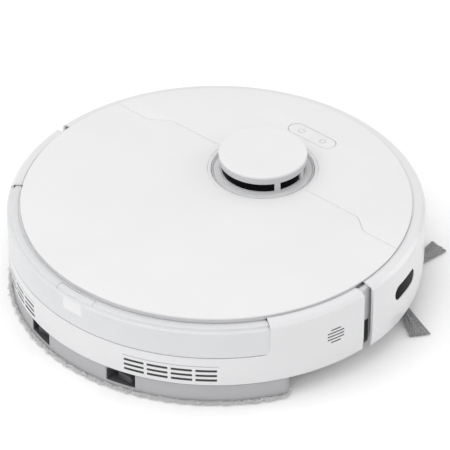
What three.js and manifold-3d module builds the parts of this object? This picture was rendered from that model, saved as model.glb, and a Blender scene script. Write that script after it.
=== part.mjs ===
// Round robot vacuum with a lidar turret, a rear water tank and a mop pad.
// Millimetres. The origin is on the floor under the body's centre, +Y is forward,
// +X is the robot's right-hand side and +Z is up.
import * as THREE from 'three';
import { mergeVertices } from 'three/addons/utils/BufferGeometryUtils.js';
import Module from 'manifold-3d';

const wasm = await Module();
wasm.setup();

// ---- driving dimensions ----
const BODY_R = 175;
const SHELL_T = 2.6;
const WALL_LOW = 19.5;
const SHOULDER_Z = 78;
const SHOULDER_R = 165.2;
const CHASSIS_R = 166;
const FLOOR_LOW = 10;
const FLOOR_TOP = 13;
const COVER_R = 163.5;
const COVER_TOP = 80;
const COVER_LOW = 77.6;
const LIDAR = { y: 58.5, recessR: 43.7, turretR: 37.4, top: 96.8 };
const PILL = { y: 122, length: 54, width: 17 };
const GAP = 0.3;
const STEP_DEG = 5;

const REAR_SHELL = { from: -175.3, to: -4.7 };
const BUMPER = { from: -1.3, to: 181.3, low: 17 };
const TANK = { half: 56.3, low: 47.8, corner: 5, front: -91.5 };
const MOP = { half: 150.5, r: 172.4, front: -72, low: 3.4, top: 18.6, skirtR: 170.7, skirtLow: 1.3 };
const PAD = { half: 152, r: 175, front: -73, edgeTop: 1, coreR: 170.4, top: 3.1 };
const CLIP = { x0: 32, x1: 58 };
const WHEEL = { x: 114, y: 0, r: 35, width: 20 };
const ARM = { y: -30, z: 31, inner: 97.6, outer: 102.4 };
const WELL = { x0: 95.5, x1: 126, y0: -50, y1: 40, top: 71.5, wall: 2 };
const BRUSH = { y: 24, z: 24, r: 21, x0: -80, x1: 82 };
const CHAMBER = { x0: -82, x1: 88, y0: 0, y1: 48, top: 50 };
const CASTER = { y: 128, trail: 7, r: 12, wellR: 26, wellTop: 36 };
const SIDE_BRUSH = { x: 118.2, y: 84.2, length: 73, hubR: 12, firstTuft: 92 };
const BATTERY = { x: 68, y0: -68, y1: -8 };
const BAY = { x: 76, y0: -93, y1: -12, low: 45, top: 47.5 };
const BOX = { x: 74, y0: -91.2, y1: -14, low: 48.6, top: 71.5 };
const FAN = { y: -118, r: 36 };
const SPEAKER = { az: -14.4, z: 49.6 };
const EDGE_WINDOW = { az: 14.7, z: 50.5, length: 36, height: 14.2 };
const DOCK_WINDOW = { az: 90, z: 50.5, length: 52, height: 15 };

// ---- materials ----
const finish = (color, roughness, metalness = 0) =>
  new THREE.MeshStandardMaterial({ color, roughness, metalness });
const WHITE = finish(0xf0f0f1, 0.35);
const SHELL_WHITE = finish(0xebebed, 0.3);
const PALE_GREY = finish(0xc9c9cc, 0.45);
const MID_GREY = finish(0xb0b0b2, 0.55);
const DARK = finish(0x2b2c2f, 0.6);
const GLOSS_BLACK = finish(0x08080a, 0.08);
const MILKY = finish(0xdfe0e3, 0.2);
const RUBBER = finish(0x232325, 0.85);
const BRISTLE = finish(0x707073, 0.8);
const METAL = finish(0xc8c4b8, 0.3, 1);
const BOARD = finish(0x1d5a3a, 0.5);
const FLUFF = finish(0xd6d6d8, 1);

// ---- solids ----
function solid(geometry) {
  const bare = geometry.clone();
  bare.deleteAttribute('normal');
  bare.deleteAttribute('uv');
  const merged = mergeVertices(bare, 1e-4);
  const index = Array.from(merged.index.array);
  const kept = [];
  for (let i = 0; i < index.length; i += 3) {
    const [a, b, c] = index.slice(i, i + 3);
    if (a !== b && b !== c && c !== a) kept.push(a, b, c);
  }
  const vertProperties = new Float32Array(merged.attributes.position.array);
  const triVerts = new Uint32Array(kept);
  return new wasm.Manifold(new wasm.Mesh({ numProp: 3, vertProperties, triVerts }));
}

function geometryOf(manifold) {
  const { vertProperties, triVerts } = manifold.getMesh();
  const geometry = new THREE.BufferGeometry();
  geometry.setAttribute('position', new THREE.BufferAttribute(vertProperties, 3));
  geometry.setIndex(new THREE.BufferAttribute(triVerts, 1));
  geometry.computeVertexNormals();
  return geometry;
}

const joined = (first, ...rest) => rest.reduce((a, b) => a.add(b), first);
const without = (first, ...rest) => rest.reduce((a, b) => a.subtract(b), first);

function box(x0, x1, y0, y1, z0, z1) {
  const geometry = new THREE.BoxGeometry(x1 - x0, y1 - y0, z1 - z0);
  return solid(geometry.translate((x0 + x1) / 2, (y0 + y1) / 2, (z0 + z1) / 2));
}

// A rod along x, y or z, from `from` to `to`, with its axis through (u, v).
function rod(axis, r, from, to, u, v, segments = 24) {
  const geometry = new THREE.CylinderGeometry(r, r, to - from, segments);
  const middle = (from + to) / 2;
  if (axis === 'x') geometry.rotateZ(-Math.PI / 2).translate(middle, u, v);
  if (axis === 'y') geometry.translate(u, middle, v);
  if (axis === 'z') geometry.rotateX(Math.PI / 2).translate(u, v, middle);
  return solid(geometry);
}

// A closed (radius, height) outline turned all the way round the z axis.
function turned(profile, segments = 360 / STEP_DEG) {
  const points = profile.map(([r, z]) => new THREE.Vector2(r, z));
  const last = points[points.length - 1];
  if (points[0].x > 0 || last.x > 0) points.push(points[0].clone());
  return solid(new THREE.LatheGeometry(points, segments).rotateX(Math.PI / 2));
}

// A closed (radius, height) outline swept round z between two angles, with flat ends.
function swept(profile, fromDeg, toDeg, stepDeg = STEP_DEG) {
  const outline = profile.map(([r, z]) => new THREE.Vector2(r, z));
  if (THREE.ShapeUtils.isClockWise(outline)) outline.reverse();
  const steps = Math.max(1, Math.round((toDeg - fromDeg) / stepDeg));
  const count = outline.length;
  const positions = [];
  const index = [];
  for (let k = 0; k <= steps; k += 1) {
    const angle = THREE.MathUtils.degToRad(fromDeg + ((toDeg - fromDeg) * k) / steps);
    for (const p of outline) positions.push(p.x * Math.cos(angle), p.x * Math.sin(angle), p.y);
  }
  for (let k = 0; k < steps; k += 1) {
    for (let i = 0; i < count; i += 1) {
      const j = (i + 1) % count;
      const near = k * count;
      const far = near + count;
      index.push(near + i, far + i, far + j, near + i, far + j, near + j);
    }
  }
  for (const [a, b, c] of THREE.ShapeUtils.triangulateShape(outline, [])) {
    index.push(a, b, c);
    index.push(steps * count + a, steps * count + c, steps * count + b);
  }
  const geometry = new THREE.BufferGeometry();
  geometry.setAttribute('position', new THREE.Float32BufferAttribute(positions, 3));
  geometry.setIndex(index);
  return solid(geometry);
}

// A flat shape in the plan view, standing from z0 to z1.
function plate(shape, z0, z1, curveSegments = 4) {
  const options = { depth: z1 - z0, bevelEnabled: false, curveSegments };
  return solid(new THREE.ExtrudeGeometry(shape, options).translate(0, 0, z0));
}

// A shape drawn in (tangent, height) that runs along the radius at an azimuth.
function radial(shape, azDeg, z, r0, r1, curveSegments = 4) {
  const options = { depth: r1 - r0, bevelEnabled: false, curveSegments };
  const geometry = new THREE.ExtrudeGeometry(shape, options).translate(0, 0, r0);
  const az = THREE.MathUtils.degToRad(azDeg);
  const tangent = new THREE.Vector3(-Math.sin(az), Math.cos(az), 0);
  const up = new THREE.Vector3(0, 0, 1);
  const out = new THREE.Vector3(Math.cos(az), Math.sin(az), 0);
  const matrix = new THREE.Matrix4().makeBasis(tangent, up, out).setPosition(0, 0, z);
  return solid(geometry.applyMatrix4(matrix));
}

// A stadium or a rounded rectangle centred on (x, y).
function rounded(length, width, radius = width / 2, x = 0, y = 0) {
  const shape = new THREE.Shape();
  const a = length / 2 - radius;
  const b = width / 2 - radius;
  shape.absarc(x + a, y + b, radius, 0, Math.PI / 2);
  shape.absarc(x - a, y + b, radius, Math.PI / 2, Math.PI);
  shape.absarc(x - a, y - b, radius, Math.PI, 1.5 * Math.PI);
  shape.absarc(x + a, y - b, radius, 1.5 * Math.PI, 2 * Math.PI);
  return shape;
}

// A tapering bar through a row of rectangular sections that share one orientation.
function lofted(sections) {
  const positions = [];
  const index = [];
  for (const { x, y, z, width, height } of sections) {
    const w = width / 2;
    const h = height / 2;
    positions.push(x, y - w, z - h, x, y + w, z - h, x, y + w, z + h, x, y - w, z + h);
  }
  for (let k = 0; k + 1 < sections.length; k += 1) {
    for (let i = 0; i < 4; i += 1) {
      const j = (i + 1) % 4;
      const near = 4 * k;
      const far = near + 4;
      index.push(near + i, near + j, far + j, near + i, far + j, far + i);
    }
  }
  const end = 4 * (sections.length - 1);
  index.push(0, 2, 1, 0, 3, 2, end, end + 1, end + 2, end, end + 2, end + 3);
  const geometry = new THREE.BufferGeometry();
  geometry.setAttribute('position', new THREE.Float32BufferAttribute(positions, 3));
  geometry.setIndex(index);
  return solid(geometry);
}

const robot = new THREE.Group();

function add(name, manifold, material, x = 0, y = 0, z = 0) {
  const mesh = new THREE.Mesh(geometryOf(manifold), material);
  mesh.name = name;
  mesh.position.set(x, y, z);
  robot.add(mesh);
  return mesh;
}

const mirrorX = (manifold) => manifold.mirror([1, 0, 0]);

// ---- body shells ----
function chassis() {
  const pan = turned([
    [0, FLOOR_LOW], [156, FLOOR_LOW], [CHASSIS_R, 17], [CHASSIS_R, 73.5], [160, 73.5],
    [160, 77.2], [157, 77.2], [157, 70.5], [163, 70.5], [163, 19], [155, FLOOR_TOP], [0, FLOOR_TOP],
  ]);
  const t = WELL.wall;
  const wellOuter = box(
    WELL.x0 - t, WELL.x1 + t, WELL.y0 - t, WELL.y1 + t, FLOOR_LOW, WELL.top + t);
  const wellInner = box(WELL.x0, WELL.x1, WELL.y0, WELL.y1, 0, WELL.top);
  const motorHole = rod('x', 13.2, WELL.x0 - 3, WELL.x0 + 1, ARM.y, ARM.z);
  const chamberOuter = box(
    CHAMBER.x0 - t, CHAMBER.x1 + t, CHAMBER.y0 - t, CHAMBER.y1 + t, FLOOR_LOW, CHAMBER.top + t);
  const chamberInner = box(CHAMBER.x0, CHAMBER.x1, CHAMBER.y0, CHAMBER.y1, 0, CHAMBER.top);
  const suctionHole = box(-22, 22, 2, 24, CHAMBER.top - 1, CHAMBER.top + t + 1);
  const driveHole = rod('x', 5, CHAMBER.x0 - 3, CHAMBER.x0 + 1, BRUSH.y, BRUSH.z);
  const bearingHole = rod('x', 4, CHAMBER.x1 - 1, CHAMBER.x1 + 3, BRUSH.y, BRUSH.z);
  const casterOuter = rod('z', CASTER.wellR + t, FLOOR_LOW, CASTER.wellTop + t, 0, CASTER.y, 36);
  const casterInner = rod('z', CASTER.wellR, 0, CASTER.wellTop, 0, CASTER.y, 36);
  const casterPin = rod('z', 4.4, CASTER.wellTop - 1, CASTER.wellTop + t + 1, 0, CASTER.y);
  const brushShaft = rod('z', 7, 0, FLOOR_TOP + 1, SIDE_BRUSH.x, SIDE_BRUSH.y);
  const batteryHole = box(-BATTERY.x - 2.3, BATTERY.x + 2.3, BATTERY.y0 - GAP, BATTERY.y1 + GAP, 0, 15);
  const moduleMouth = swept([[150, 47.6], [180, 47.6], [180, 90], [150, 90]], -150, -30);
  const ventMouth = swept([[155, 22], [170, 22], [170, 41], [155, 41]], -75, -46);
  const speakerMouth = radial(rounded(24, 24, 12), SPEAKER.az, SPEAKER.z, 155, 170);
  const body = joined(pan, wellOuter, mirrorX(wellOuter), chamberOuter, casterOuter);
  return without(
    body, wellInner, mirrorX(wellInner), motorHole, mirrorX(motorHole), chamberInner, suctionHole,
    driveHole, bearingHole, casterInner, casterPin, brushShaft, batteryHole, moduleMouth,
    ventMouth, mirrorX(ventMouth), speakerMouth);
}

// The opening that the tank fills, with its two lower corners rounded; `grow` widens it.
function tankSpace(grow) {
  const growDeg = THREE.MathUtils.radToDeg(grow / BODY_R);
  const cornerDeg = THREE.MathUtils.radToDeg(TANK.corner / BODY_R);
  const half = TANK.half + growDeg;
  const low = TANK.low - grow;
  const high = 90;
  const shoulder = low + TANK.corner;
  const wide = [[150, shoulder], [180, shoulder], [180, high], [150, high]];
  const narrow = [[150, low], [180, low], [180, shoulder + 1], [150, shoulder + 1]];
  const inset = half - cornerDeg;
  const corner = rounded(2 * TANK.corner, 2 * TANK.corner);
  return joined(
    swept(wide, -90 - half, -90 + half), swept(narrow, -90 - inset, -90 + inset),
    radial(corner, -90 - inset, shoulder, 150, 180), radial(corner, -90 + inset, shoulder, 150, 180));
}

function exhaustSlots() {
  const columns = 4;
  const first = -73.6;
  const pitch = 6.58;
  const gap = 0.8;
  const slots = [];
  for (let column = 0; column < columns; column += 1) {
    const from = first + column * pitch + gap / 2;
    for (const z of [25.5, 30.3, 35]) {
      const outline = [[168, z - 1], [180, z - 1], [180, z + 1], [168, z + 1]];
      slots.push(swept(outline, from, from + pitch - gap, pitch));
    }
  }
  return slots;
}

function rearSideShell() {
  const inner = BODY_R - SHELL_T;
  const wall = swept([
    [167.2, WALL_LOW], [173.2, WALL_LOW], [174.2, 20.6], [BODY_R, 30], [BODY_R, 75.4], [174.3, 77],
    [172.6, SHOULDER_Z], [SHOULDER_R, SHOULDER_Z], [SHOULDER_R, 75.6], [171.6, 75.6], [inner, 74.6],
    [inner, 30], [171.8, 21.6], [167.2, 21.6],
  ], REAR_SHELL.from, REAR_SHELL.to);
  const slots = exhaustSlots();
  const grille = [10, 16.5, 16.5, 16.5, 10].map((length, i) =>
    radial(rounded(length, 1.2, 0.6), SPEAKER.az, SPEAKER.z + (i - 2) * 3.1, 168, 180, 2));
  return without(wall, tankSpace(0), ...slots, ...slots.map(mirrorX), ...grille);
}

function bumper() {
  const inner = 171.8;
  const wall = swept([
    [170.6, 18.2], [171.4, BUMPER.low], [173.6, BUMPER.low], [BODY_R, 19], [BODY_R, 75.4],
    [174.3, 77], [172.6, SHOULDER_Z], [SHOULDER_R, SHOULDER_Z], [SHOULDER_R, 75.6], [170.8, 75.6],
    [inner, 74.6], [inner, 19.4],
  ], BUMPER.from, BUMPER.to);
  return without(wall, windowPrism(EDGE_WINDOW, 0, 165, 180), windowPrism(DOCK_WINDOW, 0, 165, 180));
}

function windowPrism(window, shrink, r0, r1) {
  const length = window.length - 2 * shrink;
  const height = window.height - 2 * shrink;
  return radial(rounded(length, height), window.az, window.z, r0, r1);
}

function sensorWindow(window) {
  const band = swept([[172.4, 30], [174.6, 30], [174.6, 70], [172.4, 70]], window.az - 14, window.az + 14);
  return band.intersect(windowPrism(window, GAP, 165, 180));
}

// ---- top ----
function seamedHalf(side) {
  const edge = 200;
  const hair = side * 0.25;
  const shape = new THREE.Shape();
  shape.moveTo(-edge, 46.8 + hair);
  shape.lineTo(-125, 46.8 + hair);
  shape.bezierCurveTo(-115, 46.8 + hair, -115, 58.9 + hair, -101, 58.9 + hair);
  shape.lineTo(101, 58.9 + hair);
  shape.bezierCurveTo(115, 58.9 + hair, 115, 46.8 + hair, 125, 46.8 + hair);
  shape.lineTo(edge, 46.8 + hair);
  shape.lineTo(edge, side * edge);
  shape.lineTo(-edge, side * edge);
  return plate(shape, 60, 100, 4);
}

function topDisc() {
  const disc = turned([
    [0, COVER_LOW], [159.6, COVER_LOW], [160.4, 78.4], [COVER_R, 78.4], [COVER_R, 79.3],
    [COVER_R - 0.7, COVER_TOP], [0, COVER_TOP],
  ]);
  return without(disc, rod('z', LIDAR.recessR, 60, 100, 0, LIDAR.y, 40));
}

function topCoverRear() {
  return topDisc().intersect(seamedHalf(-1));
}

function topCoverFront() {
  const pillHole = plate(rounded(PILL.length + 0.6, PILL.width + 0.6, undefined, 0, PILL.y), 60, 100);
  return topDisc().intersect(seamedHalf(1)).subtract(pillHole);
}

function topDeck() {
  const shape = new THREE.Shape();
  const r = 156.4;
  const start = Math.asin(-8 / r);
  shape.absarc(0, 0, r, start, Math.PI - start);
  const deck = plate(shape, 74.2, 76.6, 18);
  const rotorHole = rod('z', 29, 60, 100, 0, LIDAR.y, 32);
  const buttonHole = plate(rounded(48, 12, undefined, 0, PILL.y), 60, 100);
  return without(deck, rotorHole, buttonHole);
}

function buttonPanel() {
  const rim = plate(rounded(PILL.length, PILL.width), COVER_LOW, COVER_TOP);
  return rim.subtract(plate(rounded(PILL.length - 1.6, PILL.width - 1.6), 60, 100));
}

function halfPillButton(side) {
  const pill = plate(rounded(PILL.length - 2.4, PILL.width - 2.4), COVER_LOW, COVER_TOP);
  const edge = 0.2 * side;
  return side > 0 ? pill.intersect(box(edge, 40, -20, 20, 60, 100))
    : pill.intersect(box(-40, edge, -20, 20, 60, 100));
}

// ---- lidar turret ----
function lidarRing() {
  const outer = LIDAR.recessR - GAP;
  return turned([
    [30, 76.9], [outer, 76.9], [outer, 79.9], [outer - 1, 79.9], [outer - 2.2, 78.6], [38.6, 78.3],
    [37.8, 79], [30, 79],
  ], 40);
}

function turretShell() {
  const inner = 35.2;
  const base = turned([[inner, 79.3], [LIDAR.turretR, 79.3], [LIDAR.turretR, 80.7], [inner, 80.7]], 40);
  const skirt = turned([[inner, 88.8], [LIDAR.turretR, 88.8], [LIDAR.turretR, 95.3], [inner, 95.3]], 40);
  const posts = [-151, -29, 15, 61, 119, 165].map((az) =>
    swept([[inner, 80], [LIDAR.turretR, 80], [LIDAR.turretR, 89.5], [inner, 89.5]], az - 4, az + 4));
  return joined(base, skirt, ...posts);
}

function turretCap() {
  return turned([
    [0, 95.6], [LIDAR.turretR, 95.6], [LIDAR.turretR, 96.1], [LIDAR.turretR - 0.6, 96.6],
    [LIDAR.turretR - 1.4, LIDAR.top], [0, LIDAR.top],
  ], 40);
}

function turretWindow() {
  return turned([[33, 79.4], [34.9, 79.4], [34.9, 95.2], [33, 95.2]], 28);
}

function lidarRotor() {
  const drum = turned([[0, 73.6], [8, 73.6], [8, 79.6], [31, 79.6], [31, 94], [0, 94]], 28);
  const opticsFace = box(-40, 40, 22, 40, 82, 91);
  const lensPit = rod('y', 5, 15, 30, -10, 86.5, 20);
  const laserPit = rod('y', 3.5, 15, 30, 12, 86.5, 20);
  return without(drum, opticsFace, lensPit, laserPit);
}

// ---- wheels ----
function wheelArm() {
  const start = new THREE.Vector2(ARM.y, ARM.z);
  const end = new THREE.Vector2(WHEEL.y, WHEEL.r);
  const direction = end.clone().sub(start).angle();
  const shape = new THREE.Shape();
  shape.absarc(start.x, start.y, 12.4, direction + Math.PI / 2, direction + 1.5 * Math.PI);
  shape.absarc(end.x, end.y, 11, direction - Math.PI / 2, direction + Math.PI / 2);
  const thickness = ARM.outer - ARM.inner;
  const geometry = new THREE.ExtrudeGeometry(
    shape, { depth: thickness, bevelEnabled: false, curveSegments: 8 });
  const toYZ = new THREE.Matrix4().set(0, 0, 1, ARM.inner, 1, 0, 0, 0, 0, 1, 0, 0, 0, 0, 0, 1);
  const web = solid(geometry.applyMatrix4(toYZ));
  return web.add(rod('x', 4, ARM.outer - 1, 120, WHEEL.y, WHEEL.r, 24));
}

function driveMotor() {
  return rod('x', 12.4, 70, ARM.inner - GAP, ARM.y, ARM.z, 32);
}

function wheelHub() {
  const half = WHEEL.width / 2 - 1;
  const hub = new THREE.LatheGeometry([
    [4.3, -half], [9, -half], [9, -half + 3], [24, -half + 3], [24, -half], [27, -half], [27, half],
    [23, half], [20, half - 2], [10, half - 2], [8, half], [4.3, half], [4.3, -half],
  ].map(([r, h]) => new THREE.Vector2(r, h)), 24);
  return solid(hub.rotateZ(-Math.PI / 2));
}

function tyre() {
  const lugs = 24;
  const shape = new THREE.Shape();
  for (let k = 0; k < lugs; k += 1) {
    const spans = [[0, WHEEL.r], [0.55, WHEEL.r], [0.62, WHEEL.r - 2.6], [0.93, WHEEL.r - 2.6]];
    for (const [share, r] of spans) {
      const angle = ((k + share - 0.275) / lugs) * 2 * Math.PI - Math.PI / 2;
      const x = r * Math.cos(angle);
      const y = r * Math.sin(angle);
      if (k === 0 && share === 0) shape.moveTo(x, y);
      else shape.lineTo(x, y);
    }
  }
  const hole = new THREE.Path();
  hole.absarc(0, 0, 27.3, 0, 2 * Math.PI, true);
  shape.holes.push(hole);
  const options = { depth: WHEEL.width, bevelEnabled: false, curveSegments: 12 };
  const geometry = new THREE.ExtrudeGeometry(shape, options).translate(0, 0, -WHEEL.width / 2);
  const toYZ = new THREE.Matrix4().set(0, 0, 1, 0, 1, 0, 0, 0, 0, 1, 0, 0, 0, 0, 0, 1);
  return solid(geometry.applyMatrix4(toYZ));
}

function casterFork() {
  const wheelY = CASTER.y - CASTER.trail;
  const disc = rod('z', 22, 27, 30, 0, CASTER.y, 40);
  const pin = rod('z', 4, 29, CASTER.wellTop + 1.5, 0, CASTER.y, 24);
  const leg = box(9.6, 12.6, wheelY - 5, wheelY + 6, 7, 28);
  const axle = rod('x', 2, -12, 12, wheelY, CASTER.r, 16);
  return joined(disc, pin, leg, mirrorX(leg), axle);
}

function casterWheel() {
  const profile = [[2.3, -8.8], [9, -8.8], [12, -6], [12, 6], [9, 8.8], [2.3, 8.8], [2.3, -8.8]];
  const points = profile.map(([r, h]) => new THREE.Vector2(r, h));
  return solid(new THREE.LatheGeometry(points, 24).rotateZ(-Math.PI / 2));
}

// ---- cleaning ----
// The six rubber and bristle blades of the main brush, twisted into a chevron.
function mainBrushBlades() {
  const blades = 6;
  const perBlade = 4;
  const count = blades * perBlade;
  const slices = 6;
  const twist = 1.1;
  const positions = [];
  const index = [];
  const outerR = (i) => (i % perBlade < 2 ? BRUSH.r : 12);
  for (let s = 0; s <= slices; s += 1) {
    const share = s / slices;
    const x = BRUSH.x0 + 4 + (BRUSH.x1 - BRUSH.x0 - 8) * share;
    const turn = twist * (1 - Math.abs(2 * share - 1));
    for (let i = 0; i < count; i += 1) {
      const nominal = Math.floor(i / perBlade) + [0, 0.2, 0.36, 0.84][i % perBlade];
      const angle = (nominal / blades) * 2 * Math.PI + turn;
      positions.push(x, outerR(i) * Math.cos(angle), outerR(i) * Math.sin(angle));
      positions.push(x, 10 * Math.cos(angle), 10 * Math.sin(angle));
    }
  }
  const at = (s, i, inner) => 2 * (s * count + (i % count)) + inner;
  for (let s = 0; s < slices; s += 1) {
    for (let i = 0; i < count; i += 1) {
      index.push(at(s, i, 0), at(s, i + 1, 0), at(s + 1, i + 1, 0));
      index.push(at(s, i, 0), at(s + 1, i + 1, 0), at(s + 1, i, 0));
      index.push(at(s, i, 1), at(s + 1, i + 1, 1), at(s, i + 1, 1));
      index.push(at(s, i, 1), at(s + 1, i, 1), at(s + 1, i + 1, 1));
    }
  }
  for (let i = 0; i < count; i += 1) {
    index.push(at(0, i, 0), at(0, i + 1, 1), at(0, i + 1, 0));
    index.push(at(0, i, 0), at(0, i, 1), at(0, i + 1, 1));
    index.push(at(slices, i, 0), at(slices, i + 1, 0), at(slices, i + 1, 1));
    index.push(at(slices, i, 0), at(slices, i + 1, 1), at(slices, i, 1));
  }
  const geometry = new THREE.BufferGeometry();
  geometry.setAttribute('position', new THREE.Float32BufferAttribute(positions, 3));
  geometry.setIndex(index);
  return solid(geometry);
}

function mainBrushCore() {
  const shaft = rod('x', 8.9, BRUSH.x0, BRUSH.x1, 0, 0, 24);
  const collar = rod('x', 13, BRUSH.x0, BRUSH.x0 + 3, 0, 0, 24);
  const farCollar = rod('x', 13, BRUSH.x1 - 3, BRUSH.x1, 0, 0, 24);
  const stub = rod('x', 3.7, BRUSH.x1 - 1, CHAMBER.x1 + 1.5, 0, 0, 20);
  return joined(shaft, collar, farCollar, stub);
}

function brushMotor() {
  const motorY = 66;
  const motorZ = 28;
  const shape = new THREE.Shape();
  shape.absarc(BRUSH.y, BRUSH.z, 10.4, Math.PI / 2, 1.5 * Math.PI);
  shape.absarc(motorY, motorZ, 13, -Math.PI / 2, Math.PI / 2);
  const geometry = new THREE.ExtrudeGeometry(
    shape, { depth: 8.4, bevelEnabled: false, curveSegments: 8 });
  const x0 = CHAMBER.x0 - WELL.wall - GAP - 8.4;
  const toYZ = new THREE.Matrix4().set(0, 0, 1, x0, 1, 0, 0, 0, 0, 1, 0, 0, 0, 0, 0, 1);
  const gearCase = solid(geometry.applyMatrix4(toYZ));
  const can = rod('x', 12.4, x0 + 5, -34, motorY, motorZ, 32);
  const drive = rod('x', 4.4, x0 + 5, BRUSH.x0 - 0.4, BRUSH.y, BRUSH.z, 20);
  return joined(gearCase, can, drive);
}

function brushGuard() {
  const middleX = (CHAMBER.x0 + CHAMBER.x1) / 2;
  const frame = plate(rounded(180, 60, 8, middleX, BRUSH.y), 7.6, 9.7, 3);
  return frame.subtract(plate(rounded(162, 40, 4, middleX, BRUSH.y), 0, 20, 3));
}

// A rubber wiper whose flat lower edge lies on the origin.
function squeegeeLip() {
  const outline = [
    [-2.4, 7.3], [-2.4, 6.1], [-1, 5], [-0.9, 0.3], [0.9, 0.3], [1, 5], [2.4, 6.1], [2.4, 7.3]];
  const shape = new THREE.Shape(outline.map(([y, z]) => new THREE.Vector2(y, z)));
  const length = 162;
  const geometry = new THREE.ExtrudeGeometry(shape, { depth: length, bevelEnabled: false });
  const x0 = (CHAMBER.x0 + CHAMBER.x1) / 2 - length / 2;
  const toYZ = new THREE.Matrix4().set(0, 0, 1, x0, 1, 0, 0, 0, 0, 1, 0, 0, 0, 0, 0, 1);
  return solid(geometry.applyMatrix4(toYZ));
}

function sideBrushHub() {
  const hub = turned([[0, 3], [9, 3], [SIDE_BRUSH.hubR, 5], [SIDE_BRUSH.hubR, 8], [9, 9], [6, 9],
    [6, 12.6], [0, 12.6]], 32);
  const pockets = [0, 1, 2].map((k) => {
    const pocket = box(8.2, 14, -3.6, 3.6, 3.4, 7.4);
    return pocket.rotate([0, 0, tuftAngle(k)]);
  });
  return without(hub, ...pockets);
}

const tuftAngle = (k) => SIDE_BRUSH.firstTuft + 120 * k;

// One tuft, drawn along +X from the hub, then turned to its place.
function sideTuft(k) {
  const spans = [0, 0.25, 0.5, 0.75, 1];
  const start = 8.6;
  const sections = spans.map((s) => ({
    x: start + (SIDE_BRUSH.length - start) * s,
    y: 0,
    z: 5.4 - 4.2 * s,
    width: 4.6 + 13.4 * s * s,
    height: 2.8 - 1.4 * s,
  }));
  return lofted(sections).rotate([0, 0, tuftAngle(k)]);
}

// ---- dust and water module ----
function tankBody() {
  const outline = turned([
    [0, TANK.low + 0.4], [174.6, TANK.low + 0.4], [BODY_R, TANK.low + 1], [BODY_R, 71.6],
    [174.4, 72.6], [172.6, 73.2], [171.6, 73.4], [171, 74.2], [169.5, 75.1], [167, 75.3],
    [165.4, 74.8], [164.6, 73.6], [0, 73.6],
  ]);
  const wedge = swept([[0.01, 40], [180, 40], [180, 90], [0.01, 90]], -90 - TANK.half, -90 + TANK.half);
  const middle = wedge.intersect(box(-200, 200, -200, TANK.front, 40, 90));
  const rim = tankSpace(-0.4);
  const core = rod('z', 152, 40, 90, 0, 0, 72);
  const plan = middle.intersect(joined(rim, core));
  const inside = turned([[0, 50.4], [172.4, 50.4], [172.4, 70.6], [163, 71.4], [0, 71.4]]);
  const insideHalf = TANK.half - 1.5;
  const sector = [[0.01, 40], [173, 40], [173, 90], [0.01, 90]];
  const insideWedge = swept(sector, -90 - insideHalf, -90 + insideHalf);
  const cavity = inside.intersect(insideWedge)
    .intersect(box(-200, 200, -200, TANK.front - 2, 40, 90))
    .subtract(box(-28, 28, -200, -60, 62, 90));
  const filler = rod('z', 9.3, 65, 90, 95, -112, 32);
  return without(outline.intersect(plan), cavity, filler, latchSpace(0.4, 68.6, 90));
}

function latchSpace(grow, low, high) {
  const growDeg = THREE.MathUtils.radToDeg(grow / 170);
  const profile = [
    [165.2 - grow, low], [172.2 + grow, low], [172.2 + grow, high], [165.2 - grow, high]];
  return swept(profile, -96.6 - growDeg, -83.4 + growDeg, 3);
}

function tankLatch() {
  const skin = swept([
    [164.8, 60], [175, 60], [175, 73.4], [171.6, 73.5], [171, 74.4], [169.5, 75.2], [167, 75.3],
    [165.6, 74.8], [164.8, 74],
  ], -97, -83, 3);
  return latchSpace(0, 71, 90).intersect(skin);
}

function tankPlug() {
  return turned([[0, 70], [8.8, 70], [8.8, 73.9], [11, 73.9], [11, 75], [0, 75]], 32);
}

function dustBox() {
  const t = 1.8;
  const outer = box(-BOX.x, BOX.x, BOX.y0, BOX.y1, BOX.low, BOX.top);
  const inner = box(-BOX.x + t, BOX.x - t, BOX.y0 + t, BOX.y1 - t, BOX.low + t, 90);
  const inlet = box(-20, 20, BOX.y1 - 3, BOX.y1 + 1, 53, 69);
  const filterMouth = box(-38, 38, -85, -57, 40, 52);
  return without(outer, inner, inlet, filterMouth);
}

function dustBoxLid() {
  return plate(rounded(2 * BOX.x, BOX.y1 - BOX.y0, 3, 0, (BOX.y0 + BOX.y1) / 2), BOX.top + GAP, 74, 3);
}

function dustFilter() {
  const pleats = 19;
  const half = 41;
  const shape = new THREE.Shape();
  shape.moveTo(-half, 50.8);
  shape.lineTo(half, 50.8);
  for (let k = 0; k <= 2 * pleats; k += 1) {
    shape.lineTo(half - (k * half) / pleats, k % 2 ? 57.5 : 53.5);
  }
  const geometry = new THREE.ExtrudeGeometry(shape, { depth: 34, bevelEnabled: false });
  const toXZ = new THREE.Matrix4().set(1, 0, 0, 0, 0, 0, -1, -54, 0, 1, 0, 0, 0, 0, 0, 1);
  return solid(geometry.applyMatrix4(toXZ));
}

function moduleBay() {
  const rear = rod('z', 162.4, BAY.low, BAY.top, 0, 0, 90)
    .intersect(box(-200, 200, -200, BAY.y0, 0, 100));
  const front = box(-BAY.x - 2, BAY.x + 2, BAY.y0 - 1, BAY.y1 + 2, BAY.low, BAY.top);
  const side = box(BAY.x, BAY.x + 2, BAY.y0 + 2, BAY.y1 + 2, BAY.low, 73);
  const wall = box(-BAY.x - 1, BAY.x + 1, BAY.y1, BAY.y1 + 2, BAY.low, 73);
  const duct = box(-24, 24, BAY.y1 + 1, 26, 52.3, 73);
  const ductInside = box(-22, 22, BAY.y1 - 3, 24, 50, 71);
  const filterMouth = box(-36, 36, -84, -58, 40, 50);
  const fanMouth = rod('z', 14, 40, 50, 0, FAN.y, 32);
  return without(joined(rear, front, side, mirrorX(side), wall, duct), ductInside, filterMouth, fanMouth);
}

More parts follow.
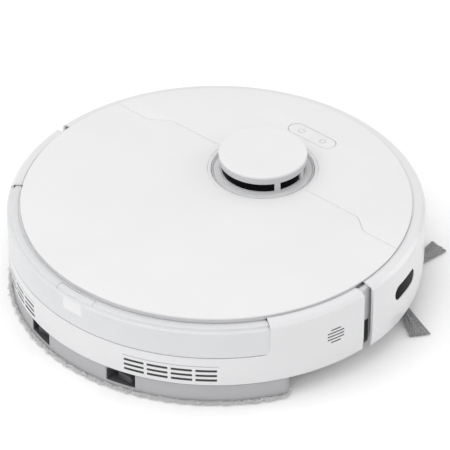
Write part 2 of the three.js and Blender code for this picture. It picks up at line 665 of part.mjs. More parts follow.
function fanHousing() {
  const shell = turned([
    [0, 14], [FAN.r, 14], [FAN.r, 43], [16, 43], [16, 40.6], [FAN.r - 2.4, 40.6],
    [FAN.r - 2.4, 16.4], [14, 16.4], [14, 26.4], [0, 26.4],
  ], 28);
  return shell.subtract(box(-60, 60, -8, 12, 19, 38));
}

function fanImpeller() {
  const blades = 9;
  const disc = turned([[0, 27], [29, 27], [29, 28.6], [7, 28.6], [6, 38], [0, 39]], 24);
  const vanes = Array.from({ length: blades }, (_, k) =>
    box(5, 28, -0.6, 0.6, 28, 37).translate([0, 4, 0]).rotate([0, 0, (k * 360) / blades]));
  return joined(disc, ...vanes);
}

// ---- mop ----
function mopPlan(r, half, front, z0, z1, corner) {
  const shape = rounded(2 * half, 140, corner, 0, front - 70);
  return plate(shape, z0, z1, 4).intersect(rod('z', r, z0, z1, 0, 0, 72));
}

function mopTray() {
  const slab = turned([
    [0, MOP.low], [MOP.skirtR, MOP.low], [MOP.skirtR, MOP.skirtLow], [MOP.r - 0.4, MOP.skirtLow],
    [MOP.r, MOP.skirtLow + 0.6], [MOP.r, MOP.top], [166.8, MOP.top], [166.8, 16.4], [156, 9.5], [0, 9.5],
  ]);
  const tray = slab.intersect(mopPlan(200, MOP.half, MOP.front, 0, 30, 10));
  const pocket = mopPlan(150, MOP.half - 8, MOP.front - 6, 5.4, 12, 8);
  const notch = clipNotch();
  return without(tray, pocket, notch, mirrorX(notch));
}

// The looped edge spreads out under the tray's skirt, and the cloth's core fills the space inside it.
function mopPad() {
  const edge = turned([
    [0, 0], [PAD.r - 0.6, 0], [PAD.r, 0.4], [PAD.r - 0.3, PAD.edgeTop], [0, PAD.edgeTop]]);
  const core = mopPlan(PAD.coreR, MOP.half, PAD.front, 0, PAD.top, 10);
  return joined(edge.intersect(mopPlan(200, PAD.half, PAD.front, -1, 10, 10)), core);
}

function clipNotch() {
  return box(CLIP.x0, CLIP.x1, -175, -143, 5, 30).subtract(rod('z', 153.4, 0, 40, 0, 0, 90));
}

function mopClip() {
  const tongue = box(CLIP.x0 + 5, CLIP.x1 - 5, -165, -146, 5.6, 13)
    .subtract(rod('z', 157.6, 0, 40, 0, 0, 90));
  const slope = turned([[150, 0], [167, 0], [167, 10], [164.6, 14], [158.5, 9.6], [150, 9.6]]);
  return tongue.intersect(slope);
}

// ---- everything in its place ----
add('chassis', chassis(), PALE_GREY);
add('rear_side_shell', rearSideShell(), SHELL_WHITE);
add('bumper', bumper(), SHELL_WHITE);
add('edge_sensor_window', sensorWindow(EDGE_WINDOW), GLOSS_BLACK);
add('dock_sensor_window', sensorWindow(DOCK_WINDOW), GLOSS_BLACK);
add('top_deck', topDeck(), DARK);
add('top_cover_rear', topCoverRear(), WHITE);
add('top_cover_front', topCoverFront(), WHITE);
add('button_panel', buttonPanel(), PALE_GREY, 0, PILL.y);
add('power_button', halfPillButton(-1), WHITE, 0, PILL.y);
add('home_button', halfPillButton(1), WHITE, 0, PILL.y);

add('lidar_ring', lidarRing(), MID_GREY, 0, LIDAR.y);
add('turret_shell', turretShell(), PALE_GREY, 0, LIDAR.y);
add('turret_cap', turretCap(), WHITE, 0, LIDAR.y);
add('turret_window', turretWindow(), GLOSS_BLACK, 0, LIDAR.y);
add('lidar_rotor', lidarRotor(), DARK, 0, LIDAR.y);
add('lidar_motor', rod('z', 12, 56, 73, 0, 0), METAL, 0, LIDAR.y);

for (const side of [-1, 1]) {
  const label = side < 0 ? 'left' : 'right';
  const handed = (manifold) => (side < 0 ? mirrorX(manifold) : manifold);
  add(`${label}_wheel_arm`, handed(wheelArm()), DARK);
  add(`${label}_drive_motor`, handed(driveMotor()), METAL);
  add(`${label}_wheel_hub`, handed(wheelHub()), PALE_GREY, side * WHEEL.x, WHEEL.y, WHEEL.r);
  add(`${label}_tyre`, handed(tyre()), RUBBER, side * WHEEL.x, WHEEL.y, WHEEL.r);
  const contact = plate(rounded(24, 9, 3), 8.9, 9.7, 2);
  add(`${label}_charge_contact`, contact, METAL, side * 46, CASTER.y);
}
add('caster_fork', casterFork(), DARK);
add('caster_wheel', casterWheel(), DARK, 0, CASTER.y - CASTER.trail, CASTER.r);
[55, 125, -15, 195].forEach((az, i) => {
  const angle = THREE.MathUtils.degToRad(az);
  const cliffWindow = plate(rounded(15, 8, 3), 9, 9.7, 2).rotate([0, 0, az - 90]);
  add(`cliff_window_${i + 1}`, cliffWindow, GLOSS_BLACK, 147 * Math.cos(angle), 147 * Math.sin(angle));
});

add('main_brush_core', mainBrushCore(), DARK, 0, BRUSH.y, BRUSH.z);
add('main_brush_blades', mainBrushBlades(), BRISTLE, 0, BRUSH.y, BRUSH.z);
add('brush_motor', brushMotor(), DARK);
add('brush_guard', brushGuard(), MID_GREY);
add('squeegee_lip', squeegeeLip(), RUBBER);
add('side_brush_hub', sideBrushHub(), MID_GREY, SIDE_BRUSH.x, SIDE_BRUSH.y);
for (const k of [0, 1, 2]) {
  add(`side_brush_tuft_${k + 1}`, sideTuft(k), BRISTLE, SIDE_BRUSH.x, SIDE_BRUSH.y);
}
const sideMotor = turned([[0, 13.3], [8, 13.3], [8, 19.6], [14, 19.6], [14, 38], [0, 38]], 24);
add('side_brush_motor', sideMotor, DARK, SIDE_BRUSH.x, SIDE_BRUSH.y);

add('battery_pack', box(-BATTERY.x, BATTERY.x, BATTERY.y0 + 1, BATTERY.y1 - 1, 13.2, 36), DARK);
const coverPlan = rounded(2 * BATTERY.x + 4, BATTERY.y1 - BATTERY.y0, 1, 0, (BATTERY.y0 + BATTERY.y1) / 2);
add('battery_cover', plate(coverPlan, FLOOR_LOW + 0.2, 12.8, 4), PALE_GREY);
const chips = joined(
  plate(rounded(140, 62, 6, 0, 108), 54, 55.6, 6), box(-50, -30, 95, 115, 55, 58),
  box(0, 12, 88, 100, 55, 57.5), box(30, 48, 100, 112, 55, 59));
add('mainboard', chips, BOARD);
add('speaker', radial(rounded(28, 28), SPEAKER.az, SPEAKER.z, 147, 161, 6), DARK);
add('fan_housing', fanHousing(), DARK, 0, FAN.y);
add('fan_impeller', fanImpeller(), PALE_GREY, 0, FAN.y);

add('module_bay', moduleBay(), DARK);
add('tank_body', tankBody(), MILKY);
add('tank_latch', tankLatch(), MILKY);
add('tank_plug', tankPlug(), RUBBER, 95, -112);
add('dust_box', dustBox(), MILKY);
add('dust_box_lid', dustBoxLid(), MILKY);
add('dust_filter', dustFilter(), WHITE);

add('mop_tray', mopTray(), MID_GREY);
add('left_mop_clip', mirrorX(mopClip()), DARK);
add('right_mop_clip', mopClip(), DARK);
add('mop_pad', mopPad(), FLUFF);

export default robot;
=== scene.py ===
import math

import bmesh
import bpy
import numpy as np
from mathutils import Matrix, Vector


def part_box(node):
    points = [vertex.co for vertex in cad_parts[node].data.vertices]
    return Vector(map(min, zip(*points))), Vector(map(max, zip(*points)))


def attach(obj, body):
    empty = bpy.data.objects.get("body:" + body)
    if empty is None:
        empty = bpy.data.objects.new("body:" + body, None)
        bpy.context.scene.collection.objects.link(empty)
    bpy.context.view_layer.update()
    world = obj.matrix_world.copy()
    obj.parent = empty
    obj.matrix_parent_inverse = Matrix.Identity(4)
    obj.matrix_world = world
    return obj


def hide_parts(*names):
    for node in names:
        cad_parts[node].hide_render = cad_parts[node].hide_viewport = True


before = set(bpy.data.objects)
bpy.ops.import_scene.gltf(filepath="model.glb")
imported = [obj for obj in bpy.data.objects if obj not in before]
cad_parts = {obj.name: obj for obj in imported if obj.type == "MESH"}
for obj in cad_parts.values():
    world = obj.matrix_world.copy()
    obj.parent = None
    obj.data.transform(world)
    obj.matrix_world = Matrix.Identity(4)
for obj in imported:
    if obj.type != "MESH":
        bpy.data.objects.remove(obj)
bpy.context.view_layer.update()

noise_source = np.random.default_rng(11)

# Shapes are drawn in millimetres in the CAD frame (+Y forward, +X right, +Z up) and scaled here.
MM = 0.001


def node_mm(name):
    """The lowest and highest corners of a CAD node, in millimetres."""
    low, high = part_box(name)
    return low / MM, high / MM


# ---- driving dimensions: some read from the CAD parts, the rest given ----
BODY_R = node_mm("rear_side_shell")[0].y * -1
COVER_TOP = node_mm("top_cover_rear")[1].z
COVER_R = -node_mm("top_cover_rear")[0].y
LIDAR_LOW, LIDAR_HIGH = node_mm("turret_cap")
LIDAR_Y = (LIDAR_LOW.y + LIDAR_HIGH.y) / 2
TURRET_TOP = LIDAR_HIGH.z
TURRET_R = (LIDAR_HIGH.x - LIDAR_LOW.x) / 2
RING_R = (node_mm("lidar_ring")[1].x - node_mm("lidar_ring")[0].x) / 2
PILL_LOW, PILL_HIGH = node_mm("button_panel")
PILL_Y = (PILL_LOW.y + PILL_HIGH.y) / 2
PILL_LENGTH = 49.0
PILL_HEIGHT = 15.4
LIDAR_CENTRE = (0, LIDAR_Y)
SHOULDER_R = 165.2
SHOULDER_Z = 77.6
LEDGE_Z = 76.6
COVER_EDGE_Z = 77.15
WALL_T = 2.6
CHASSIS_R = node_mm("chassis")[1].x
TANK_HALF = 56.3
TANK_LOW = 47.8
TANK_FRONT = node_mm("tank_body")[1].y
MOP_R = -node_mm("mop_tray")[0].y
TUFT_LENGTH = 73.0
VENT_AZIMUTH = 29.55
SPEAKER_AZIMUTH = -14.4
SIDE_HUB = (node_mm("side_brush_hub")[0] + node_mm("side_brush_hub")[1]) / 2
WHEEL_R = 35.0
WHEEL_X = 114.0
WELL_X = 110.75
CHAMBER_PLACE = (3, 24)
BATTERY_PLACE = (0, -38)
CASTER_PIVOT = (0, 128)
CONTACT_PLACE = (46, 128)
WINDOW_Z = 50.5
SEAM_OUTER_Y = 46.8
SEAM_INNER_Y = 58.9
SHELL_ENDS = (-175.3, -4.7)
BUMPER_ENDS = (-1.3, 181.3)
CLIP_ROOM = (32, 58)
CLIP_SPAN = (37, 53)
TUFT_AZIMUTHS = (92, 212, 332)
CASTER_MID = (node_mm("caster_wheel")[0] + node_mm("caster_wheel")[1]) / 2
BRUSH_MID = (node_mm("main_brush_blades")[0] + node_mm("main_brush_blades")[1]) / 2


# ---- materials ----
class Nodes:
    """A small helper for building a material's node tree."""

    def __init__(self, name):
        self.material = bpy.data.materials.new(name)
        self.material.use_nodes = True
        self.tree = self.material.node_tree
        self.shader = self.tree.nodes["Principled BSDF"]
        self.place = self.add("ShaderNodeTexCoord").outputs["Object"]

    def add(self, kind, values=(), **settings):
        node = self.tree.nodes.new(kind)
        for key, value in settings.items():
            setattr(node, key, value)
        for key, value in dict(values).items():
            node.inputs[key].default_value = value
        return node

    def link(self, output, target):
        self.tree.links.new(output, target)

    def noise(self, scale, detail=2.0, roughness=0.5, source=None):
        node = self.add("ShaderNodeTexNoise", {"Scale": scale, "Detail": detail, "Roughness": roughness})
        self.link(source or self.place, node.inputs["Vector"])
        return node.outputs["Fac"]

    def stretched(self, scale):
        node = self.add("ShaderNodeMapping", {"Scale": scale})
        self.link(self.place, node.inputs["Vector"])
        return node.outputs["Vector"]

    def between(self, fac, low, high, start=0.3, end=0.7):
        limits = {"From Min": start, "From Max": end, "To Min": low, "To Max": high}
        node = self.add("ShaderNodeMapRange", limits)
        self.link(fac, node.inputs["Value"])
        return node.outputs["Result"]

    def ramp(self, fac, *stops):
        node = self.add("ShaderNodeValToRGB")
        elements = node.color_ramp.elements
        while len(elements) < len(stops):
            elements.new(0.5)
        for element, (position, colour) in zip(elements, stops):
            element.position = position
            element.color = (*colour, 1)
        self.link(fac, node.inputs["Fac"])
        return node.outputs["Color"]

    def bump(self, height, strength, distance, normal=None):
        node = self.add("ShaderNodeBump", {"Strength": strength, "Distance": distance})
        self.link(height, node.inputs["Height"])
        if normal:
            self.link(normal, node.inputs["Normal"])
        return node.outputs["Normal"]

    def colour(self, output):
        self.link(output, self.shader.inputs["Base Color"])

    def rough(self, output):
        self.link(output, self.shader.inputs["Roughness"])

    def normal(self, output):
        self.link(output, self.shader.inputs["Normal"])

    def adjust(self, values):
        for key, value in values.items():
            self.shader.inputs[key].default_value = value


def shade(colour, factor):
    return tuple(min(1.0, c * factor) for c in colour)


def moulded(name, colour, low, high, grain=0.12, coat=0.0):
    """Moulded plastic: a faint cloudy tone, fine texture grain and uneven gloss."""
    m = Nodes(name)
    m.colour(m.ramp(m.noise(14, 3), (0.3, shade(colour, 0.985)), (0.7, shade(colour, 1.01))))
    m.rough(m.between(m.noise(60, 4, 0.6), low, high))
    m.normal(m.bump(m.noise(2600, 2, 0.6), grain, 0.000008))
    m.adjust({"Coat Weight": coat, "Coat Roughness": 0.12})
    return m.material


def glossy_black():
    m = Nodes("glossy_black_window")
    m.colour(m.ramp(m.noise(30, 2), (0.3, (0.004, 0.004, 0.005)), (0.7, (0.008, 0.008, 0.010))))
    m.rough(m.between(m.noise(220, 5, 0.7), 0.03, 0.09))
    m.normal(m.bump(m.noise(25, 1), 0.05, 0.0004))
    m.adjust({"Specular IOR Level": 0.015})
    return m.material


def milky_plastic():
    """Translucent water-tank plastic: light passes through and scatters inside it."""
    m = Nodes("milky_plastic")
    m.colour(m.ramp(m.noise(18, 3), (0.3, (0.84, 0.845, 0.86)), (0.7, (0.87, 0.875, 0.885))))
    m.rough(m.between(m.noise(70, 4), 0.285, 0.34))
    m.normal(m.bump(m.noise(1800, 2), 0.06, 0.000008))
    m.adjust({"Transmission Weight": 0.25, "IOR": 1.46})
    return m.material


def rubber():
    m = Nodes("black_rubber")
    m.colour(m.ramp(m.noise(40, 4), (0.3, (0.016, 0.016, 0.017)), (0.7, (0.032, 0.032, 0.033))))
    m.rough(m.between(m.noise(300, 4), 0.68, 0.9))
    m.normal(m.bump(m.noise(1500, 3), 0.3, 0.00008))
    return m.material


def bristles(name, dark, light):
    m = Nodes(name)
    streaks = m.noise(900, 2, 0.6, m.stretched((1, 1, 0.4)))
    m.colour(m.ramp(streaks, (0.25, dark), (0.75, light)))
    m.rough(m.between(m.noise(500, 2), 0.42, 0.62))
    return m.material


def brushed_metal(name, colour):
    m = Nodes(name)
    streaks = m.noise(1, 3, 0.6, m.stretched((900, 18, 900)))
    m.colour(m.ramp(streaks, (0.25, shade(colour, 0.86)), (0.75, colour)))
    m.rough(m.between(streaks, 0.29, 0.42))
    m.normal(m.bump(streaks, 0.15, 0.00005))
    m.adjust({"Metallic": 1.0})
    return m.material


def circuit_board():
    m = Nodes("circuit_board")
    cells = m.add("ShaderNodeTexVoronoi", {"Scale": 260}, distance="CHEBYCHEV")
    m.link(m.place, cells.inputs["Vector"])
    m.colour(m.ramp(cells.outputs["Distance"], (0.1, (0.01, 0.10, 0.05)), (0.55, (0.02, 0.16, 0.08))))
    m.rough(m.between(m.noise(80, 3), 0.3, 0.45))
    m.normal(m.bump(cells.outputs["Distance"], 0.3, 0.0002))
    return m.material


def fleece(name, low, high):
    """Looped microfibre: dense little loops in mixed light tones."""
    m = Nodes(name)
    cells = m.add("ShaderNodeTexVoronoi", {"Scale": 700})
    m.link(m.place, cells.inputs["Vector"])
    m.colour(m.ramp(m.noise(420, 4, 0.7), (0.3, low), (0.72, high)))
    m.rough(m.between(m.noise(200, 2), 0.85, 0.98))
    first = m.bump(cells.outputs["Distance"], 0.7, 0.0008)
    m.normal(m.bump(m.noise(2400, 3), 0.4, 0.0002, first))
    m.adjust({"Sheen Weight": 0.35, "Sheen Roughness": 0.5})
    return m.material


def filter_paper():
    m = Nodes("filter_paper")
    m.colour(m.ramp(m.noise(500, 5, 0.7), (0.3, (0.72, 0.71, 0.67)), (0.7, (0.86, 0.85, 0.82))))
    m.rough(m.between(m.noise(200, 2), 0.85, 0.98))
    m.normal(m.bump(m.noise(1600, 4), 0.5, 0.0002))
    return m.material


COVER_WHITE = moulded("cover_white", (0.75, 0.75, 0.755), 0.34, 0.40, grain=0.10)
SHELL_WHITE = moulded("shell_white", (0.71, 0.71, 0.72), 0.29, 0.35, grain=0.06, coat=0.2)
PALE_GREY = moulded("pale_grey_plastic", (0.58, 0.58, 0.595), 0.36, 0.5, grain=0.2)
# Grey for the turret's white side band, posts and base: painted shade below the cap.
TURRET_SHADE_GREY = moulded("turret_shade_grey", (0.56, 0.56, 0.57), 0.29, 0.37, grain=0.08)
RING_GREY = moulded("ring_grey_plastic", (0.62, 0.62, 0.63), 0.3, 0.4, grain=0.08)
MID_GREY = moulded("mid_grey_plastic", (0.42, 0.42, 0.43), 0.42, 0.58, grain=0.25)
DARK = moulded("dark_plastic", (0.022, 0.022, 0.024), 0.45, 0.62, grain=0.3)
SOFT_DARK = moulded("dark_grey_plastic", (0.075, 0.075, 0.08), 0.42, 0.6, grain=0.25)
ICON_GREY = moulded("printed_grey", (0.42, 0.42, 0.43), 0.5, 0.6)
RIM_GREY = moulded("rim_grey_plastic", (0.66, 0.66, 0.67), 0.34, 0.44, grain=0.1)
BLACK_WINDOW = glossy_black()
MILKY = milky_plastic()
RUBBER = rubber()
BRISTLE_DARK = bristles("grey_bristles", (0.19, 0.19, 0.195), (0.58, 0.58, 0.59))
BRUSH_BRISTLE = bristles("black_bristles", (0.02, 0.02, 0.022), (0.09, 0.09, 0.095))
STEEL = brushed_metal("brushed_steel", (0.62, 0.62, 0.62))
CONTACT = brushed_metal("plated_contact", (0.80, 0.74, 0.60))
BOARD = circuit_board()
FLEECE = fleece("mop_fleece", (0.72, 0.72, 0.73), (0.93, 0.93, 0.93))
YARN = fleece("mop_yarn", (0.80, 0.80, 0.80), (1.0, 1.0, 1.0))
PAPER = filter_paper()


# ---- outlines ----
def fillet(corners, steps=6):
    """Rounds the corners of a closed outline; each corner is (x, y, radius)."""
    outline = []
    count = len(corners)
    for i, (x, y, radius) in enumerate(corners):
        if radius <= 0:
            outline.append((x, y))
            continue
        here = Vector((x, y))
        back = Vector(corners[i - 1][:2]) - here
        ahead = Vector(corners[(i + 1) % count][:2]) - here
        half = back.angle(ahead) / 2
        reach = min(radius / math.tan(half), 0.48 * back.length, 0.48 * ahead.length)
        radius = reach * math.tan(half)
        centre = here + (back.normalized() + ahead.normalized()).normalized() * (radius / math.sin(half))
        start = here + back.normalized() * reach - centre
        end = here + ahead.normalized() * reach - centre
        first = math.atan2(start.y, start.x)
        turn = (math.atan2(end.y, end.x) - first + math.pi) % (2 * math.pi) - math.pi
        for k in range(steps + 1):
            angle = first + turn * k / steps
            outline.append((centre.x + radius * math.cos(angle), centre.y + radius * math.sin(angle)))
    return outline


def divided(outline, longest=3.0):
    """Splits long edges of a closed outline, so that curved walls shade and cut cleanly."""
    result = []
    for i, a in enumerate(outline):
        b = outline[(i + 1) % len(outline)]
        dx, dy = b[0] - a[0], b[1] - a[1]
        pieces = max(1, math.ceil(math.dist(a, b) / longest))
        result += [(a[0] + dx * k / pieces, a[1] + dy * k / pieces) for k in range(pieces)]
    return result


def rounded(corners, steps=6, longest=3.0):
    return divided(fillet(corners, steps), longest)


def turned_anticlockwise(outline):
    area = sum(a[0] * b[1] - b[0] * a[1] for a, b in zip(outline, outline[1:] + outline[:1]))
    return list(outline) if area > 0 else list(reversed(outline))


def stadium(length, height, radius=None, x=0.0, y=0.0, steps=10):
    radius = height / 2 - 0.001 if radius is None else radius
    a, b = length / 2, height / 2
    corners = [(x + a, y - b), (x + a, y + b), (x - a, y + b), (x - a, y - b)]
    return turned_anticlockwise(fillet([(cx, cy, radius) for cx, cy in corners], steps))


def rectangle(x0, y0, x1, y1):
    return [(x0, y0), (x1, y0), (x1, y1), (x0, y1)]


def circle(radius, x=0.0, y=0.0, count=96):
    angles = [2 * math.pi * k / count for k in range(count)]
    return [(x + radius * math.cos(a), y + radius * math.sin(a)) for a in angles]


# ---- mesh building ----
def linked(name, data):
    """An object in the scene that holds a mesh, a curve, a light or a camera."""
    obj = bpy.data.objects.new(name, data)
    bpy.context.scene.collection.objects.link(obj)
    return obj


def mesh_object(name, verts, faces, scale=MM):
    mesh = bpy.data.meshes.new(name)
    mesh.from_pydata([(x * scale, y * scale, z * scale) for x, y, z in verts], [], faces)
    mesh.validate()
    obj = linked(name, mesh)
    weld(obj)
    return obj


def weld(obj, distance=2e-7):
    bm = bmesh.new()
    bm.from_mesh(obj.data)
    bmesh.ops.remove_doubles(bm, verts=bm.verts, dist=distance)
    bmesh.ops.dissolve_degenerate(bm, edges=bm.edges, dist=distance)
    bmesh.ops.recalc_face_normals(bm, faces=bm.faces)
    bm.to_mesh(obj.data)
    bm.free()


def swept(name, outline, start, end, step=1.0, centre=(0.0, 0.0)):
    """A closed (radius, height) outline swept round z between two azimuths."""
    outline = turned_anticlockwise(outline)
    full = end - start >= 359.999
    count = max(1, round((end - start) / step))
    angles = np.radians(np.linspace(start, end, count + 1))
    rows = angles[:-1] if full else angles
    cx, cy = centre
    verts = [(cx + r * math.cos(a), cy + r * math.sin(a), z) for a in rows for r, z in outline]
    n = len(outline)
    faces = []
    for k in range(len(rows) if full else len(rows) - 1):
        near, far = k * n, ((k + 1) % len(rows)) * n
        for i in range(n):
            j = (i + 1) % n
            faces.append((near + i, far + i, far + j, near + j))
    if not full:
        faces.append(tuple(range(n)))
        last = (len(rows) - 1) * n
        faces.append(tuple(last + i for i in reversed(range(n))))
    return mesh_object(name, verts, faces)


def revolved(name, outline, centre=(0.0, 0.0), step=3.0):
    return swept(name, outline, 0, 360, step, centre)


def slab(name, loops, z0, z1, edge=0.0, segments=3):
    """A flat piece from z0 to z1 with rounded edges. The first loop is the outline, the rest are holes."""
    curve = bpy.data.curves.new(name, "CURVE")
    curve.dimensions = "2D"
    curve.fill_mode = "BOTH"
    for number, loop in enumerate(loops):
        loop = turned_anticlockwise(loop)
        if number:
            loop.reverse()
        spline = curve.splines.new("POLY")
        spline.points.add(len(loop) - 1)
        for point, (x, y) in zip(spline.points, loop):
            point.co = (x * MM, y * MM, 0, 1)
        spline.use_cyclic_u = True
    curve.extrude = ((z1 - z0) / 2 - edge) * MM
    curve.bevel_depth = edge * MM
    curve.bevel_resolution = segments
    curve.offset = -edge * MM
    source = linked(name + "_source", curve)
    graph = bpy.context.evaluated_depsgraph_get()
    mesh = bpy.data.meshes.new_from_object(source.evaluated_get(graph))
    bpy.data.objects.remove(source)
    mesh.name = name
    mesh.transform(Matrix.Translation((0, 0, (z0 + z1) / 2 * MM)))
    obj = linked(name, mesh)
    weld(obj, 1e-6)
    return obj


def placed(obj, angle, axis, x=0.0, y=0.0, z=0.0):
    """Turns a piece about an axis through the origin, then shifts it."""
    shift = Matrix.Translation((x * MM, y * MM, z * MM))
    obj.data.transform(shift @ Matrix.Rotation(angle, 4, axis))
    return obj


def onto_axle(obj, x, y, z):
    """Turns a piece revolved about z so that it is revolved about an axle along x."""
    return placed(obj, math.pi / 2, "Y", x, y, z)


def bridged(name, near, far):
    """A closed solid between two matching loops of points."""
    n = len(near)
    faces = [tuple(reversed(range(n))), tuple(range(n, 2 * n))]
    faces += [(i, (i + 1) % n, n + (i + 1) % n, n + i) for i in range(n)]
    return mesh_object(name, near + far, faces)


def block(name, x0, x1, y0, y1, z0, z1):
    corners = rectangle(x0, y0, x1, y1)
    return bridged(name, *([(x, y, z) for x, y in corners] for z in (z0, z1)))


def combine(obj, others, operation):
    """Joins or cuts with other meshes, which are used up."""
    for other in others:
        modifier = obj.modifiers.new("combine", "BOOLEAN")
        modifier.operation = operation
        modifier.solver = "EXACT"
        modifier.object = other
    graph = bpy.context.evaluated_depsgraph_get()
    mesh = bpy.data.meshes.new_from_object(obj.evaluated_get(graph))
    obj.modifiers.clear()
    obj.data = mesh
    for other in others:
        bpy.data.objects.remove(other)
    weld(obj)
    return obj


def cut(obj, *others):
    return combine(obj, others, "DIFFERENCE")


def keep(obj, *others):
    return combine(obj, others, "INTERSECT")


def merged(name, pieces):
    """Several closed meshes as one object, without joining their surfaces."""
    bm = bmesh.new()
    for piece in pieces:
        bm.from_mesh(piece.data)
        bpy.data.objects.remove(piece)
    mesh = bpy.data.meshes.new(name)
    bm.to_mesh(mesh)
    bm.free()
    return linked(name, mesh)


def round_edges(obj, width, angle=50, segments=2):
    """Rounds the edges that are sharper than an angle."""
    bm = bmesh.new()
    bm.from_mesh(obj.data)
    limit = math.radians(angle)
    edges = [e for e in bm.edges if len(e.link_faces) == 2 and e.calc_face_angle(0) > limit]
    bmesh.ops.bevel(bm, geom=edges, offset=width * MM, segments=segments, profile=0.5,
                    affect="EDGES", clamp_overlap=True)
    bm.to_mesh(obj.data)
    bm.free()
    return obj


def finished(obj, material, body, stands_for=None, sharp=32):
    """Shades a piece, gives it its material and hangs it on its CAD body."""
    mesh = obj.data
    mesh.materials.clear()
    mesh.materials.append(material)
    for polygon in mesh.polygons:
        polygon.use_smooth = abs(polygon.normal.z) < 0.9999
    mesh.set_sharp_from_angle(angle=math.radians(sharp))
    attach(obj, body)
    if stands_for:
        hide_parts(stands_for)
    return obj


def strands(name, paths, radii, sides=3):
    """Thin tapering fibres in one mesh: paths is (fibre, point, xyz) and radii is one per point, in mm."""
    paths = np.asarray(paths, float)
    fibres, points, _ = paths.shape
    radii = np.broadcast_to(np.asarray(radii, float), (fibres, points))
    tangent = np.gradient(paths, axis=1)
    tangent /= np.linalg.norm(tangent, axis=2, keepdims=True) + 1e-9
    helper = np.where(np.abs(tangent[..., 2:3]) > 0.9, [[[1.0, 0, 0]]], [[[0, 0, 1.0]]])
    side = np.cross(tangent, helper)
    side /= np.linalg.norm(side, axis=2, keepdims=True) + 1e-9
    up = np.cross(tangent, side)
    angles = np.arange(sides) * 2 * math.pi / sides
    ring = side[:, :, None] * np.cos(angles)[:, None] + up[:, :, None] * np.sin(angles)[:, None]
    verts = (paths[:, :, None] + ring * radii[:, :, None, None]).reshape(-1, 3) * MM
    base = (np.arange(fibres) * points * sides)[:, None, None, None]
    row = (np.arange(points - 1) * sides)[None, :, None, None]
    i = np.arange(sides)[None, None, :, None]
    j = (i + 1) % sides
    quads = np.concatenate(np.broadcast_arrays(
        base + row + i, base + row + j, base + row + sides + j, base + row + sides + i), axis=3)
    faces = quads.reshape(-1, 4).tolist()
    for f in range(fibres):
        first = f * points * sides
        last = first + (points - 1) * sides
        faces.append(list(range(first + sides - 1, first - 1, -1)))
        faces.append(list(range(last, last + sides)))
    mesh = bpy.data.meshes.new(name)
    mesh.from_pydata(verts.tolist(), [], faces)
    return linked(name, mesh)


# ---- camera, floor and light ----
def add_camera():
    azimuth, elevation = math.radians(42.01), math.radians(36.39)
    distance = 2.968
    target = Vector((-0.0113, 0.0233, 0.0338))
    level = math.cos(elevation)
    back = Vector((math.sin(azimuth) * level, -math.cos(azimuth) * level, math.sin(elevation)))
    camera = linked("camera", bpy.data.cameras.new("camera"))
    camera.location = target + back * distance
    camera.rotation_euler = back.to_track_quat("Z", "Y").to_euler()
    camera.data.lens = 280
    camera.data.sensor_width = 36
    camera.data.clip_end = 50
    bpy.context.scene.camera = camera


def area_light(name, location, aim, size, power):
    light = bpy.data.lights.new(name, "AREA")
    light.shape = "SQUARE"
    light.size = size
    light.energy = power
    obj = linked(name, light)
    obj.location = location
    obj.rotation_euler = (Vector(location) - Vector(aim)).to_track_quat("Z", "Y").to_euler()


def add_studio():
    corners = [(x, y, -0.0005) for x, y in rectangle(-4, -4, 4, 4)]
    floor = mesh_object("floor", corners, [(0, 1, 2, 3)], scale=1)
    m = Nodes("studio_floor")
    m.colour(m.ramp(m.noise(3, 2), (0.3, (0.965, 0.965, 0.965)), (0.7, (0.975, 0.975, 0.975))))
    m.rough(m.between(m.noise(40, 2), 0.8, 0.95))
    floor.data.materials.append(m.material)
    world = bpy.data.worlds.new("studio")
    world.use_nodes = True
    tree = world.node_tree
    direction = tree.nodes.new("ShaderNodeTexCoord")
    toward = tree.nodes.new("ShaderNodeVectorMath")
    toward.operation = "DOT_PRODUCT"
    toward.inputs[1].default_value = (-0.05, -0.52, 0.85)
    tree.links.new(direction.outputs["Generated"], toward.inputs[0])
    fade = tree.nodes.new("ShaderNodeMapRange")
    limits = {"From Min": -0.7, "From Max": 0.75, "To Min": 0.38, "To Max": 1.0}
    for key, value in limits.items():
        fade.inputs[key].default_value = value
    tree.links.new(toward.outputs["Value"], fade.inputs["Value"])
    tree.links.new(fade.outputs["Result"], tree.nodes["Background"].inputs["Strength"])
    tree.nodes["Background"].inputs["Color"].default_value = (1, 1, 1, 1)
    bpy.context.scene.world = world
    area_light("key", (-0.25, -1.1, 2.3), (0, 0, 0), 2.2, 19)
    area_light("side_fill", (1.2, 2.2, 0.9), (0, 0, 0.05), 1.2, 10)
    bpy.context.scene.view_settings.view_transform = "Standard"


# ---- side walls ----
def wall_outline(low, low_r, foot_r, ledge_r, ledge_z):
    """The section of a side wall, with a narrow foot at the bottom and a ledge beside the cover."""
    inner = BODY_R - WALL_T
    return rounded([
        (foot_r, low, 0.3), (low_r, low, 1.3), (BODY_R, 31, 24), (BODY_R, 73.8, 3.2),
        (171.4, 77.2, 0.8), (SHOULDER_R, SHOULDER_Z + 0.2, 0.6), (SHOULDER_R, ledge_z + 0.4, 0.1),
        (ledge_r, ledge_z + 0.4, 0.1), (ledge_r, ledge_z, 0.1), (SHOULDER_R, ledge_z, 0),
        (SHOULDER_R, 75.6, 0.2), (inner, 75.6, 1.2), (inner, low + 2.1, 0.4), (foot_r, low + 2.1, 0.2),
    ], 7, 3.2)


def tank_opening(grow):
    """A cutter for the gap that the tank fills; its lower corners are rounded."""
    grow_deg = math.degrees(grow / BODY_R)
    half = math.radians(TANK_HALF + grow_deg) * BODY_R
    low = TANK_LOW - grow
    corners = [(-half, low, 5), (half, low, 5), (half, 92, 0), (-half, 92, 0)]
    outline = rounded(corners, 8, 2.5)
    return wrapped_prism("tank_opening", outline, -90, 148, 182)


